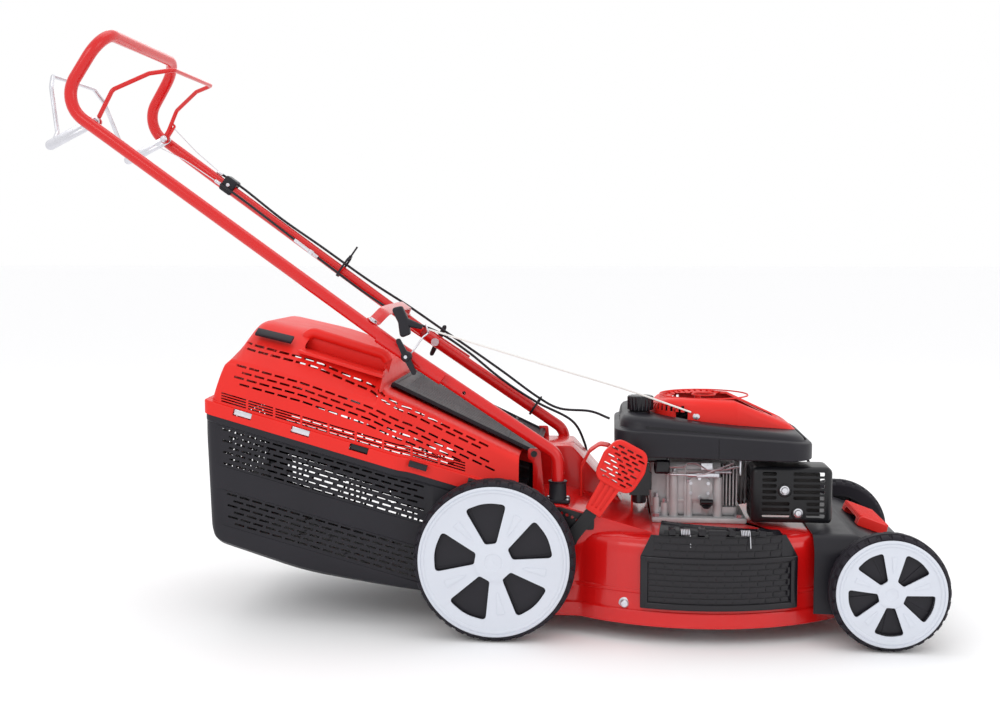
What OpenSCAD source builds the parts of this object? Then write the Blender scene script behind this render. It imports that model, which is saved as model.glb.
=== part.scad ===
// Push lawn mower with a folding handle, a rear catcher and a side chute.
// Every module is drawn in a mower frame: X forward from the rear axle,
// Y to the mower's left, Z up from the ground. frame_shift centres it.

/* [Wheels] */
// Diameter of a rear wheel
rear_wheel_d = 280; // [274:2:282]
// Diameter of a front wheel
front_wheel_d = 200; // [194:2:202]
// Distance between the rear axle and the front axle
wheelbase = 664; // [660:1:668]
// Width over the outer faces of the wheels
track_w = 543; // [541:1:547]
// Width of a rear wheel
rear_tyre_w = 50; // [46:1:50]
// Width of a front wheel
front_tyre_w = 45; // [42:1:45]
// Diameter of the axle that each wheel turns on
axle_d = 12; // [10:1:14]

/* [Deck] */
// Half of the deck's width beside the rear wheels
deck_half_w = 192; // [188:1:193]
// Height of the deck's lower edge at the lowest cut
deck_edge_z = 30; // [26:1:34]
// Height of the deck's flat top
deck_top_z = 180; // [178:1:182]
// Thickness of the pressed sheet
sheet = 2; // [1.5:0.1:2.5]
// How far the axles drop between the lowest and highest cut
cut_range = 45; // [35:1:45]

/* [Blade] */
// Length of the blade, tip to tip
blade_l = 480; // [460:5:486]
// Width of the blade
blade_w = 55; // [50:1:60]
// Thickness of the blade
blade_t = 4; // [3:0.5:4]

/* [Handle] */
// Outer diameter of the handle tube
tube_d = 22; // [20:1:22]
// Wall of the handle tube
tube_wall = 1.5; // [1.2:0.1:2]
// Diameter of the wire of the two bails
bail_wire_d = 8; // [6:1:8]

/* [Catcher] */
// Wall of the catcher's two shells
catcher_wall = 3; // [2.5:0.5:4]
// Length of the rear flap, from its hinge to its free edge
flap_l = 285; // [270:5:287]

/* [Hidden] */

red = [0.87, 0.09, 0.07];
red_plastic = [0.93, 0.17, 0.13];
black = [0.09, 0.09, 0.10];
rubber = [0.14, 0.13, 0.15];
cap_white = [0.88, 0.90, 0.94];
zinc = [0.74, 0.75, 0.77];
alloy = [0.66, 0.66, 0.67];
steel = [0.50, 0.51, 0.53];
rope_white = [0.90, 0.89, 0.87];

$fn = 64;
running = 0.06;                 // radial clearance of a shaft that turns in a hole
rear_r = rear_wheel_d / 2;
front_r = front_wheel_d / 2;
axle_r = axle_d / 2;
tube_r = tube_d / 2;
wire_r = bail_wire_d / 2;
deck_rear_x = 60;
deck_front_x = 612;
crank_x = 360;
crank_r = 12.5;

// The bulge of the deck beside the blade is one arc on each side
bulge_x = 350;
bulge_r = 366;
bulge_w = 255;

// Height adjustment: the arms swing half the angle above level and half below
rear_arm = 90;
front_arm = 45;
rear_swing = asin(cut_range / 2 / rear_arm);
front_swing = asin(cut_range / 2 / front_arm);
rear_pivot = [rear_arm * cos(rear_swing), rear_r - cut_range / 2];
front_pivot = [wheelbase + front_arm * cos(front_swing), front_r - cut_range / 2];
carrier_r = 9;
arm_in_y = 208;
arm_t = 5;
rear_horn = 80;
front_horn = 40;
link_y = 198;
link_r = 4;

// Fold joint of the handle, and the pivot that both bails share
fold_pivot = [-158, 485];
bail_pivot = [-718, 898];
pin_r = 4;
bolt_r = 3;

flap_hinge = [62, 308.5];
flap_slope = 25.3;
side_hinge = [-262, 197];

bail_reach = 833;               // furthest the drive bail reaches behind the rear axle
frame_shift = (bail_reach + wire_r - wheelbase - front_r) / 2;

/* ---- shared geometry ---- */

function unit(v) = v / norm(v);
function side_of(w) = unit(cross(abs(w.z) < 0.9 ? [0, 0, 1] : [1, 0, 0], w));
function mirrored(points) = [for (p = points) [p.x, -p.y, p.z]];
function reversed(points) = [for (i = [len(points) - 1 : -1 : 0]) points[i]];
// A half path on the left, ending at the middle, joined to its mirror image on the right
function both_sides(half) =
    concat(half, reversed(mirrored([for (i = [0 : len(half) - 2]) half[i]])));

// The points of a path whose corners are rounded to bend_r
function rounded(points, bend_r, steps = 6) =
    let (last = len(points) - 1)
    [for (i = [0 : last])
        each (i == 0 || i == last) ? [points[i]] :
            let (
                before = unit(points[i] - points[i - 1]),
                after = unit(points[i + 1] - points[i]),
                turn = acos(before * after),
                inward = unit(after - before * (before * after)),
                centre = points[i] - before * bend_r * tan(turn / 2) + inward * bend_r
            )
            [for (k = [0 : steps])
                let (part = turn * k / steps)
                centre + bend_r * (before * sin(part) - inward * cos(part))]
    ];
function tangents(p) =
    [for (i = [0 : len(p) - 1]) unit(p[min(i + 1, len(p) - 1)] - p[max(i - 1, 0)])];
function carried(t, side, i = 0) =
    i == len(t) ? [] :
    let (now = unit(side - t[i] * (side * t[i])))
    concat([now], carried(t, now, i + 1));
function ring_points(centre, along, side, r, sides) =
    [for (k = [0 : sides - 1])
        centre + r * (cos(360 * k / sides) * side + sin(360 * k / sides) * cross(along, side))];
function skin(from, rings, sides, flip) =
    [for (i = [0 : rings - 2], k = [0 : sides - 1])
        let (
            a = from + i * sides + k,
            d = from + i * sides + (k + 1) % sides,
            b = a + sides,
            c = d + sides
        )
        each flip ? [[c, b, a], [d, c, a]] : [[a, b, c], [a, c, d]]];
function rim(outer, inner, sides, flip) =
    [for (k = [0 : sides - 1])
        let (a = outer + k, b = outer + (k + 1) % sides, c = inner + (k + 1) % sides, d = inner + k)
        each flip ? [[c, b, a], [d, c, a]] : [[a, b, c], [a, c, d]]];

// A round bar, or a tube if wall is over 0, along a path
module swept(points, r, sides = 12, wall = 0) {
    along = tangents(points);
    across = carried(along, side_of(along[0]));
    rings = len(points);
    outer = [for (i = [0 : rings - 1]) each ring_points(points[i], along[i], across[i], r, sides)];
    inner = wall == 0 ? [] :
        [for (i = [0 : rings - 1]) each ring_points(points[i], along[i], across[i], r - wall, sides)];
    last = (rings - 1) * sides;
    ends = wall == 0 ?
        [[for (k = [0 : sides - 1]) k], [for (k = [sides - 1 : -1 : 0]) last + k]] :
        concat(
            skin(len(outer), rings, sides, true),
            rim(0, len(outer), sides, false),
            rim(last, len(outer) + last, sides, true)
        );
    polyhedron(concat(outer, inner), concat(skin(0, rings, sides, false), ends), convexity = 10);
}

// A cylinder between two points
module bar(p, q, r, fn = 32) {
    w = unit(q - p);
    u = side_of(w);
    v = cross(w, u);
    multmatrix([
        [u.x, v.x, w.x, p.x],
        [u.y, v.y, w.y, p.y],
        [u.z, v.z, w.z, p.z],
        [0, 0, 0, 1]
    ]) cylinder(h = norm(q - p), r = r, $fn = fn);
}

// A cylinder along Y, from y0 to y1, at [x, z]
module pin_y(at, y0, y1, r, fn = 48) {
    translate([at.x, min(y0, y1), at.y]) rotate([-90, 0, 0])
        cylinder(h = abs(y1 - y0), r = r, $fn = fn);
}
module box(low, high) {
    translate(low) cube(high - low);
}
// A side-view outline of [x, z] points, extruded from y0 to y1
module side_plate(outline, y0, y1) {
    translate([0, max(y0, y1), 0]) rotate([90, 0, 0])
        linear_extrude(abs(y1 - y0)) polygon(outline);
}
// A flat bar in the XZ plane with rounded ends
module strap_2d(p, q, w) {
    along = (q - p) / norm(q - p);
    across = [-along.y, along.x] * w / 2;
    polygon([p + across, p - across, q - across, q + across]);
    for (end = [p, q]) translate(end) circle(w / 2, $fn = 32);
}
module strap(p, q, w, y0, y1) {
    translate([0, max(y0, y1), 0]) rotate([90, 0, 0])
        linear_extrude(abs(y1 - y0)) strap_2d(p, q, w);
}
module each_side() {
    children();
    mirror([0, 1, 0]) children();
}
module place() {
    translate([frame_shift, 0, 0]) children();
}

/* ---- deck ---- */

module deck_outline(inset) {
    translate([deck_rear_x + inset, -deck_half_w + inset])
        square([200, 2 * (deck_half_w - inset)]);
    for (side = [-1, 1]) intersection() {
        translate([bulge_x, side * (bulge_w - bulge_r)]) circle(bulge_r - inset, $fn = 180);
        translate([115, side > 0 ? -1 : -300]) square([deck_front_x - inset - 115, 301]);
    }
}
duct_outer = [[140, 68], [60, 173], [60, 300], [125, 300], [232, deck_top_z + 1], [232, 100]];
duct_inner = [[143, 71.5], [58, 180], [58, 297.5], [124, 297.5], [229, deck_top_z],
    [262, deck_top_z - sheet], [262, 40], [150, 40]];
duct_y = [5, 138];
flap_ear = [[60, 222], [60, 292], [51, 300], [51, 318], [73, 318], [82, 222]];
front_ear = [[609, 55], [609, 168], [620, 168], [718, 98], [718, 62], [700, 56]];

// The hump behind the blade is flat under the handle and slopes down to the deck's top
hump_z = 225;
hump_flat_x = 112;
hump_front_x = 272;
function on_hump(x) =
    hump_z - (x - hump_flat_x) * (hump_z - deck_top_z) / (hump_front_x - hump_flat_x);
module hump(drop, half_w, front_x, z0) side_plate([
    [deck_rear_x + drop, z0], [deck_rear_x + drop, hump_z - drop], [hump_flat_x, hump_z - drop],
    [front_x, deck_top_z], [front_x, z0]
], -half_w, half_w);
engine_bolt_at = [[282, -103], [282, 103], [428, -103], [428, 103]];
module engine_bolt_holes() for (at = engine_bolt_at)
    translate([at.x, at.y, deck_top_z - 20]) cylinder(h = 40, r = 4.1, $fn = 32);
cable_hole = [182, 150];

module deck_shell() color(red) difference() {
    union() {
        difference() {
            union() {
                translate([0, 0, deck_edge_z])
                    linear_extrude(deck_top_z - deck_edge_z) deck_outline(0);
                hump(0, deck_half_w, hump_front_x, deck_top_z - sheet);
            }
            translate([0, 0, deck_edge_z - 1])
                linear_extrude(deck_top_z - deck_edge_z + 1 - sheet) deck_outline(sheet);
            hump(sheet, deck_half_w - sheet, hump_front_x - 8, deck_top_z - 10);
        }
        side_plate(duct_outer, duct_y[0], duct_y[1]);
        each_side() side_plate(flap_ear, 147, 150);
        each_side() side_plate(front_ear, 139, 144);
    }
    side_plate(duct_inner, duct_y[0] + sheet, duct_y[1] - sheet);
    engine_bolt_holes();
    translate([cable_hole.x, cable_hole.y, deck_top_z]) cylinder(h = 50, r = 8);
    // crankshaft, drive belt and side chute openings
    translate([crank_x, 0, deck_top_z - 10]) cylinder(h = 20, r = 22);
    box([deck_rear_x - 5, -150, 158], [deck_rear_x + 5, -32, 186]);
    box([262, -300, 62], [506, -200, 172]);
    pin_y(rear_pivot, -200, 200, carrier_r + running);
    pin_y(front_pivot, -150, 150, carrier_r + running);
    pin_y(flap_hinge, -160, 160, bolt_r);
}

apron_outer = [
    [545, 50], [545, 184], [614, 184], [735, 140], [745, 116], [745, 62], [738, 50]
];
apron_inner = [
    [540, 40], [540, 181], [613.5, 181], [732.5, 137.7], [742, 115], [742, 62], [736, 40]
];
module apron_body(outline, half_w, shoulder_z, top_w, top_z) intersection() {
    side_plate(outline, -half_w, half_w);
    translate([500, 0, 0]) rotate([90, 0, 90]) linear_extrude(300) polygon([
        [-half_w, 30], [-half_w, shoulder_z], [-top_w, top_z],
        [top_w, top_z], [half_w, shoulder_z], [half_w, 30]
    ]);
}
module front_apron() color(black) difference() {
    union() {
        difference() {
            apron_body(apron_outer, 219, 156, 203, 184);
            apron_body(apron_inner, 216, 155, 201, 181);
        }
        each_side() box([550, 60, deck_top_z], [570, 80, 182]);
    }
    // the stub axles rise and fall in these slots
    each_side() box([648, 210, 40], [682, 225, 122]);
    // the height link passes through this one
    box([553, 190, 165], [618, 206, 190]);
}

module front_carry_handle() color(red) translate([668, 0, 164.4]) rotate([0, 20, 0])
    difference() {
        box([-27, -75, 0.3], [27, 75, 19]);
        box([-40, -50, -1], [40, 50, 11]);
    }

strap_outer = [
    [143, on_hump(143)], [143, 270], [158, 300], [178, 314], [196, 311], [222, 284],
    [240, 240], [240, on_hump(240)]
];
strap_inner = [
    [146, on_hump(146)], [146, 269], [160, 298], [178, 311], [194, 308.5], [219, 283],
    [237, 240], [237, on_hump(237)]
];
module rear_carry_handle() color(red)
    side_plate(concat(strap_outer, reversed(strap_inner)), -62, -22);

socket_r = 17;
module handle_sockets() color(black) each_side() difference() {
    union() {
        translate([105, 160, hump_z]) cylinder(h = 38, r = socket_r);
        box([83, 140, hump_z], [127, 180, hump_z + 6]);
    }
    translate([105, 160, hump_z + 6]) cylinder(h = 60, r = tube_r + 0.1);
}

lower_path = rounded([[105, 160, 231.2], [105, 160, 309], [-178, 172, 498]], 32);
spare_hole = [-60, 419.2];
spare_r = 3.3;
module lower_handles() color(red) difference() {
    each_side() difference() {
        swept(lower_path, tube_r, 16, tube_wall);
        pin_y(fold_pivot, 140, 200, bolt_r + 0.2, 32);
    }
    pin_y(spare_hole, -190, -140, spare_r, 32);
}

module carriage_bolt(at, y_head, y_tip) {
    pin_y(at, y_head, y_tip, bolt_r, 32);
    pin_y(at, y_head, y_head + 3, 8, 32);
}
module bolts() color(zinc) {
    each_side() carriage_bolt(fold_pivot, 155, 214);
    for (at = engine_bolt_at) {
        translate([at.x, at.y, deck_top_z - 12]) cylinder(h = 28, r = 4, $fn = 32);
        translate([at.x, at.y, deck_top_z + 10]) cylinder(h = 6, r = 7.5, $fn = 6);
    }
}

// Six holes on an arc about the rear pivot, one for each cutting height
quadrant_plate = [[95, 183], [95, 222], [hump_flat_x, 222], [170, 206], [170, 183]];
quadrant_r = 98;
module height_quadrant() color(black) difference() {
    side_plate(quadrant_plate, -deck_half_w - 3.5, -deck_half_w);
    for (i = [0 : 5])
        let (angle = 51.2 + 2 * rear_swing * i / 5)
        pin_y(rear_pivot + quadrant_r * [cos(angle), sin(angle)], -200, -188, 3, 24);
}

module chute_arc(r_in, r_out, x0, x1, z0, z1) {
    intersection() {
        translate([bulge_x, bulge_r - bulge_w, z0]) difference() {
            cylinder(h = z1 - z0, r = r_out, $fn = 180);
            translate([0, 0, -1]) cylinder(h = z1 - z0 + 2, r = r_in, $fn = 180);
        }
        box([x0, -300, z0 - 1], [x1, -150, z1 + 1]);
    }
}
module discharge_bracket() color(black) difference() {
    union() {
        chute_arc(bulge_r - 34, bulge_r + 2, 280, 500, deck_top_z, 212);
        for (x = [296, 346, 396, 446]) box([x, side_hinge.x - 4, 192], [x + 12, -245, 202]);
    }
    chute_arc(bulge_r - 31, bulge_r - 1, 283, 497, deck_top_z - 1, 209);
    translate([270, side_hinge.x, side_hinge.y]) rotate([0, 90, 0])
        cylinder(h = 260, r = bolt_r, $fn = 32);
}

// The rear flap's pin, the side flap's pin and the side flap's two springs
module hinge_hardware() color(zinc) {
    pin_y(flap_hinge, -154, 154, bolt_r, 32);
    each_side() pin_y(flap_hinge, 150.2, 154, 5.5, 32);
    translate([288, side_hinge.x, side_hinge.y]) rotate([0, 90, 0])
        cylinder(h = 180, r = bolt_r, $fn = 32);
    for (x = [314, 414]) translate([x, side_hinge.x, side_hinge.y]) rotate([0, 90, 0])
        difference() {
            cylinder(h = 26, r = 4.4, $fn = 32);
            translate([0, 0, -1]) cylinder(h = 28, r = 3.2, $fn = 32);
        }
}

/* ---- engine ---- */

module crankcase() color(alloy) difference() {
    union() {
        box([272, -95, deck_top_z + 10], [428, 95, 288]);
        box([273, -112, deck_top_z], [442, 112, deck_top_z + 10]);
        translate([crank_x, 0, 288]) cylinder(h = 12, r = 30);
        // dipstick tube
        bar([370, -90, 200], [370, -106, 213], 9, 32);
    }
    translate([crank_x, 0, 200]) cylinder(h = 80, r = 70);
    translate([crank_x, 0, 170]) cylinder(h = 140, r = crank_r + running);
    bar([370, -80, 191.9], [370, -107, 213.8], 6, 32);
    box([400, -34, 221], [430, 34, 280]);
    engine_bolt_holes();
}

cylinder_z = 250;
bore_r = 32;
module cylinder_block() color(alloy) difference() {
    union() {
        translate([428, 0, cylinder_z]) rotate([0, 90, 0]) cylinder(h = 78, r = 42);
        for (x = [438 : 10 : 498]) box([x, -56, 205], [x + 4, 56, 292]);
        box([506, -50, 210], [530, 50, 290]);
    }
    translate([427, 0, cylinder_z]) rotate([0, 90, 0]) cylinder(h = 73, r = bore_r + running);
}

module piston() color(alloy) difference() {
    translate([446, 0, cylinder_z]) rotate([0, 90, 0]) cylinder(h = 42, r = bore_r);
    translate([445, 0, cylinder_z]) rotate([0, 90, 0]) cylinder(h = 34, r = bore_r - 4);
}

module muffler() color(steel) {
    box([462, -124, 200], [568, -74, 276]);
    box([500, -74, 225], [524, -56, 250]);
}

module muffler_guard() color(black) difference() {
    box([445, -141, 186], [588, -64, 289]);
    box([448, -138, 189], [585, -60, 286]);
    for (x = [470, 530], z = [198 : 14 : 268])
        box([x - 16, -145, z], [x + 30, -130, z + 6]);
}

module spark_plug() color(black) {
    translate([530, 26, cylinder_z]) rotate([0, 90, 0]) cylinder(h = 16, r = 7);
    translate([546, 26, cylinder_z]) rotate([0, 90, 0]) cylinder(h = 30, r = 10);
}

module carburettor() color(alloy) {
    box([232, -124, 232], [268, -92, 286]);
    box([268, -112, 240], [272, -96, 270]);
}

module air_filter_box() color(black) box([214, 40, 210], [270, 130, 296]);

// The shroud's top slopes down to the front, and the recoil cover lies on it
shroud_side = [[205, 312], [205, 370], [214, 379], [545, 342], [556, 332], [556, 302], [388, 299]];
shroud_hollow = [[208, 290], [208, 368.7], [215.3, 375.7], [543.5, 339], [553, 330.4], [553, 290]];
recoil_side = [[262, 373.9], [285, 395], [300, 402], [400, 402], [455, 387], [535, 347], [535, 343.4]];
recoil_hollow = [
    [265, 330], [266, 373], [287, 392.5], [301, 399], [399, 399], [453, 384.3], [531, 345], [531, 330]
];
recoil_x = 364;
recoil_r = 100;
tank_neck = [252, -58];
module shroud_plan(inset) {
    translate([205 + inset, -100 + inset]) square([351 - 2 * inset, 200 - 2 * inset]);
    translate([255, -150 + inset]) square([251, 300 - 2 * inset]);
    for (x = [255, 506], y = [-100, 100]) translate([x, y]) circle(50 - inset);
}
module engine_shroud() color(black) difference() {
    intersection() {
        side_plate(shroud_side, -150, 150);
        translate([0, 0, 290]) linear_extrude(100) shroud_plan(0);
    }
    intersection() {
        side_plate(shroud_hollow, -160, 160);
        translate([0, 0, 280]) linear_extrude(120) shroud_plan(3);
    }
    translate([recoil_x, 0, 330]) cylinder(h = 60, r = recoil_r - 8);
    translate([tank_neck.x, tank_neck.y, 360]) cylinder(h = 30, r = 19);
}

module recoil_plan(inset) {
    translate([recoil_x, 0]) circle(recoil_r - inset);
    polygon([[recoil_x, inset - recoil_r], [recoil_x + 60, inset - 93], [535 - inset, inset - 52],
        [535 - inset, 52 - inset], [recoil_x + 60, 93 - inset], [recoil_x, recoil_r - inset]]);
}
module recoil_cover() color(red_plastic) {
    difference() {
        intersection() {
            side_plate(recoil_side, -110, 110);
            translate([0, 0, 330]) linear_extrude(80) recoil_plan(0);
        }
        intersection() {
            side_plate(recoil_hollow, -120, 120);
            translate([0, 0, 320]) linear_extrude(90) recoil_plan(3);
        }
        // slots for the cooling air, and the notch that the rope leaves by
        for (i = [0 : 11]) translate([recoil_x, 0, 396]) rotate([0, 0, 30 * i])
            box([34, -5, 0], [64, 5, 20]);
        box([300, -115, 350], [345, -80, 384]);
    }
    // the post that the starter pulley turns on
    translate([crank_x, 0, 371]) cylinder(h = 29, r = 6);
}

module fuel_tank() color(black) difference() {
    union() {
        box([216, -92, 322], [262, 70, 367]);
        translate([tank_neck.x, tank_neck.y, 340]) cylinder(h = 37, r = 17.5);
    }
    box([219, -89, 325], [259, 67, 364]);
    translate([tank_neck.x, tank_neck.y, 343]) cylinder(h = 40, r = 15);
}

module fuel_cap() color(black) difference() {
    translate([tank_neck.x, tank_neck.y, 378.5]) cylinder(h = 27, r = 24);
    translate([tank_neck.x, tank_neck.y, 377]) cylinder(h = 6, r = 20);
}

dip_top = [370, -106, 213];
dip_along = unit([0, -16, 13]);
module oil_dipstick() color(black) {
    bar(dip_top + dip_along * 0.4, dip_top + dip_along * 15, 13, 32);
    bar(dip_top + dip_along * 1, dip_top - dip_along * 14, 5, 32);
}

/* ---- blade drive ---- */

module crankshaft() color(steel) difference() {
    union() {
        translate([crank_x, 0, 50]) cylinder(h = 312, r = crank_r);
        translate([crank_x, 0, 238]) cylinder(h = 24, r = 55);
    }
    // cut away on the crankpin's side, so that the web balances the pin
    translate([crank_x + 14, -60, 237]) cube([60, 120, 26]);
}

module flywheel() color(alloy) difference() {
    union() {
        translate([crank_x, 0, 316]) cylinder(h = 14, r = 84);
        for (i = [0 : 15]) translate([crank_x, 0, 329]) rotate([0, 0, 22.5 * i])
            translate([44, -1.5, 0]) cube([38, 3, 13]);
    }
    translate([crank_x, 0, 310]) cylinder(h = 40, r = crank_r);
}

belt_z = 166;
crank_pulley_r = 25;
gear_pulley_r = 38;
module pulley(r) {
    rotate_extrude() polygon([
        [0, 0], [r + 4, 0], [r + 4, 1.5], [r - 4, 4.5], [r - 4, 7.5], [r + 4, 10.5], [r + 4, 12], [0, 12]
    ]);
}
module blade_adapter() color(steel) difference() {
    union() {
        translate([crank_x, 0, 44.2 + blade_t]) cylinder(h = 30, r = 20);
        translate([crank_x, 0, 44.2 + blade_t]) cylinder(h = 5, r = 32);
        translate([crank_x, 0, belt_z - 6]) pulley(crank_pulley_r);
        // blade bolt
        translate([crank_x, 0, 36]) cylinder(h = 8, r = 10, $fn = 6);
        translate([crank_x, 0, 40]) cylinder(h = 14, r = 5, $fn = 32);
    }
    translate([crank_x, 0, 49.9]) cylinder(h = 200, r = crank_r);
}

module blade() color(steel) difference() {
    union() {
        translate([crank_x - blade_w / 2, -blade_l / 2, 44]) cube([blade_w, blade_l, blade_t]);
        // the trailing half of each tip is bent up to lift the grass
        for (turn = [0, 180]) translate([crank_x, 0, 44]) rotate([0, 0, turn])
            translate([4, blade_l / 2 - 75, 0]) rotate([0, -32, 0]) cube([24, 70, blade_t]);
    }
    // a tip never reaches past the circle that it sweeps
    difference() {
        translate([crank_x, 0, 30]) cylinder(h = 40, r = blade_l);
        translate([crank_x, 0, 29]) cylinder(h = 42, r = blade_l / 2, $fn = 128);
    }
    translate([crank_x, 0, 30]) cylinder(h = 40, r = 5 + running, $fn = 32);
}

/* ---- wheels, axles and height adjustment ---- */

gearbox_at = [5, -98];
module gearbox() color(alloy) difference() {
    union() {
        box([-38, -126, rear_r - 34], [38, -70, rear_r + 12]);
        pin_y([0, rear_r], -134, -62, 20);
        translate([gearbox_at.x, gearbox_at.y, rear_r + 12]) cylinder(h = 6, r = 12);
    }
    pin_y([0, rear_r], -140, -60, axle_r + running);
    translate([gearbox_at.x, gearbox_at.y, rear_r]) cylinder(h = 30, r = 6 + running, $fn = 32);
}
module gearbox_pulley() color(steel) {
    translate([gearbox_at.x, gearbox_at.y, belt_z - 6]) pulley(gear_pulley_r);
    translate([gearbox_at.x, gearbox_at.y, rear_r + 8.5]) cylinder(h = 20, r = 6, $fn = 32);
}

module drive_shaft() color(steel)
    pin_y([0, rear_r], -track_w / 2 + rear_tyre_w - 31, track_w / 2 - rear_tyre_w + 31, axle_r, 48);

horn_top = rear_pivot + rear_horn * [sin(rear_swing), cos(rear_swing)];
front_radial = [sin(front_swing), cos(front_swing)];
front_horn_top = front_pivot + front_horn * front_radial;
module rear_axle_carrier() color(steel) difference() {
    union() {
        pin_y(rear_pivot, -arm_in_y - arm_t, arm_in_y + arm_t, carrier_r);
        each_side() strap(rear_pivot, [0, rear_r], 30, arm_in_y, arm_in_y + arm_t);
        strap(rear_pivot, horn_top, 18, 203, 207);
    }
    pin_y([0, rear_r], -230, 230, axle_r + running);
    pin_y(horn_top, 200, 210, link_r + running, 32);
}

module front_axle_carrier() color(steel) difference() {
    union() {
        pin_y(front_pivot, -arm_in_y - arm_t, arm_in_y + arm_t, carrier_r);
        each_side() strap(front_pivot, [wheelbase, front_r], 22, arm_in_y, arm_in_y + arm_t);
        each_side() pin_y([wheelbase, front_r], arm_in_y, track_w / 2 - front_tyre_w + 27, axle_r);
        strap(front_pivot, front_horn_top, 20, 203, 207);
    }
    // slotted, because the two horns don't rise by quite the same amount
    strap(front_horn_top - 3.5 * front_radial, front_horn_top + 0.5 * front_radial,
        2 * link_r + 2, 200, 210);
}

link_bend = [[592, horn_top.y], [680, front_horn_top.y]];
module height_link() color(zinc) {
    swept(rounded([
        [horn_top.x, link_y, horn_top.y],
        [link_bend[0].x, link_y, link_bend[0].y],
        [link_bend[1].x, link_y, link_bend[1].y],
        [front_horn_top.x, link_y, front_horn_top.y]
    ], 20, 4), link_r, 12);
    pin_y(horn_top, link_y, 211, link_r, 32);
    pin_y(front_horn_top, link_y, 207.6, link_r, 32);
}

lever_elbow = [128, 166];
lever_foot = [163, 212];
lever_y = -203;
module height_lever_arm() color(black) difference() {
    union() {
        strap(rear_pivot, lever_elbow, 26, lever_y, lever_y + 5);
        strap(lever_elbow, lever_foot, 22, lever_y, lever_y + 5);
        strap(lever_foot, lever_foot + [16, 28], 20, lever_y, lever_y + 5);
    }
    pin_y(rear_pivot, -210, -195, carrier_r);
}
grip_centre = [218, 297];
module height_lever_grip() color(red_plastic) difference() {
    union() {
        strap([168, 216], grip_centre - [10, 18], 30, lever_y - 5, lever_y + 6.5);
        translate([0, lever_y + 8, 0]) rotate([90, 0, 0]) linear_extrude(14)
            intersection() {
                translate(grip_centre) circle(46);
                translate(grip_centre) rotate(-28) square([74, 84], center = true);
            }
    }
    // the arm's end sits in a socket
    strap(lever_elbow, lever_foot, 22.4, lever_y - 0.1, lever_y + 5.1);
    strap(lever_foot - [6, 10], lever_foot + [16.3, 28.4], 20.4, lever_y - 0.1, lever_y + 5.1);
}

// Wheel sections are drawn as [radius, distance in from the wheel's inner face]
module wheel(r, w, hub_r, cap_r) {
    rotate_extrude($fn = 96) polygon([
        [axle_r + running, 0], [hub_r, 0], [hub_r, w / 2 - 3], [cap_r - 18, w / 2 - 3],
        [cap_r - 18, 0], [r - 8, 0], [r - 2, 3], [r, w / 2 - 6], [r, w / 2 + 6], [r - 2, w - 7],
        [cap_r + 2, w - 2], [cap_r + 2, w - 5], [cap_r - 18, w - 5], [cap_r - 18, w / 2 + 3],
        [hub_r, w / 2 + 3], [hub_r, w - 18], [axle_r + running, w - 18]
    ]);
}
module hubcap(r, w, hub_r, first_hole) {
    difference() {
        union() {
            translate([0, 0, w - 4.8]) cylinder(h = 4.8, r = r, $fn = 96);
            translate([0, 0, w - 18]) cylinder(h = 16, r = hub_r);
        }
        for (i = [0 : 4]) rotate(first_hole + 72 * i) translate([0, 0, w - 9]) linear_extrude(12)
            polygon([
                [0.30 * r, -0.05 * r], [0.30 * r, 0.05 * r], [0.78 * r, 0.24 * r],
                [0.85 * r, 0.16 * r], [0.85 * r, -0.16 * r], [0.78 * r, -0.24 * r]
            ]);
    }
}
// Turns a part drawn up +Z into one that faces out to the right (-1) or the left (+1)
module at_wheel(x, z, side, w) {
    translate([x, side * (track_w / 2 - w), z]) rotate([-90 * side, 0, 0]) children();
}
rear_cap_r = rear_r - 7;
front_cap_r = front_r - 9;
hub_rear = 20;
hub_front = 16;
module wheel_rear_right() color(rubber)
    at_wheel(0, rear_r, -1, rear_tyre_w) wheel(rear_r, rear_tyre_w, hub_rear, rear_cap_r);
module wheel_rear_left() color(rubber)
    at_wheel(0, rear_r, 1, rear_tyre_w) wheel(rear_r, rear_tyre_w, hub_rear, rear_cap_r);
module wheel_front_right() color(rubber)
    at_wheel(wheelbase, front_r, -1, front_tyre_w) wheel(front_r, front_tyre_w, hub_front, front_cap_r);
module wheel_front_left() color(rubber)
    at_wheel(wheelbase, front_r, 1, front_tyre_w) wheel(front_r, front_tyre_w, hub_front, front_cap_r);
module hubcap_rear_right() color(cap_white)
    at_wheel(0, rear_r, -1, rear_tyre_w) hubcap(rear_cap_r, rear_tyre_w, hub_rear, 26);
module hubcap_rear_left() color(cap_white)
    at_wheel(0, rear_r, 1, rear_tyre_w) hubcap(rear_cap_r, rear_tyre_w, hub_rear, 26);
module hubcap_front_right() color(cap_white)
    at_wheel(wheelbase, front_r, -1, front_tyre_w) hubcap(front_cap_r, front_tyre_w, hub_front, 51);
module hubcap_front_left() color(cap_white)
    at_wheel(wheelbase, front_r, 1, front_tyre_w) hubcap(front_cap_r, front_tyre_w, hub_front, 51);

// The points of an arc, and of the loop that lies gap outside the two pulleys' pitch circles
function arc(centre, r, from, to, steps = 24) =
    [for (k = [0 : steps])
        let (angle = from + (to - from) * k / steps)
        centre + r * [cos(angle), sin(angle)]];
function belt_loop(gap) =
    let (
        near = [crank_x, 0],
        far = [gearbox_at.x, gearbox_at.y],
        along = far - near,
        heading = atan2(along.y, along.x),
        spread = 90 + asin((gear_pulley_r - crank_pulley_r) / norm(along))
    )
    concat(
        arc(near, crank_pulley_r + gap, heading + spread, heading + 360 - spread),
        arc(far, gear_pulley_r + gap, heading - spread, heading + spread)
    );
// Clear of the groove walls all the way round
module drive_belt() color(black)
    translate([0, 0, belt_z - 2.2]) linear_extrude(4.4) difference() {
        polygon(belt_loop(3.5));
        polygon(belt_loop(-1));
    }

/* ---- handle and controls ---- */

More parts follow.
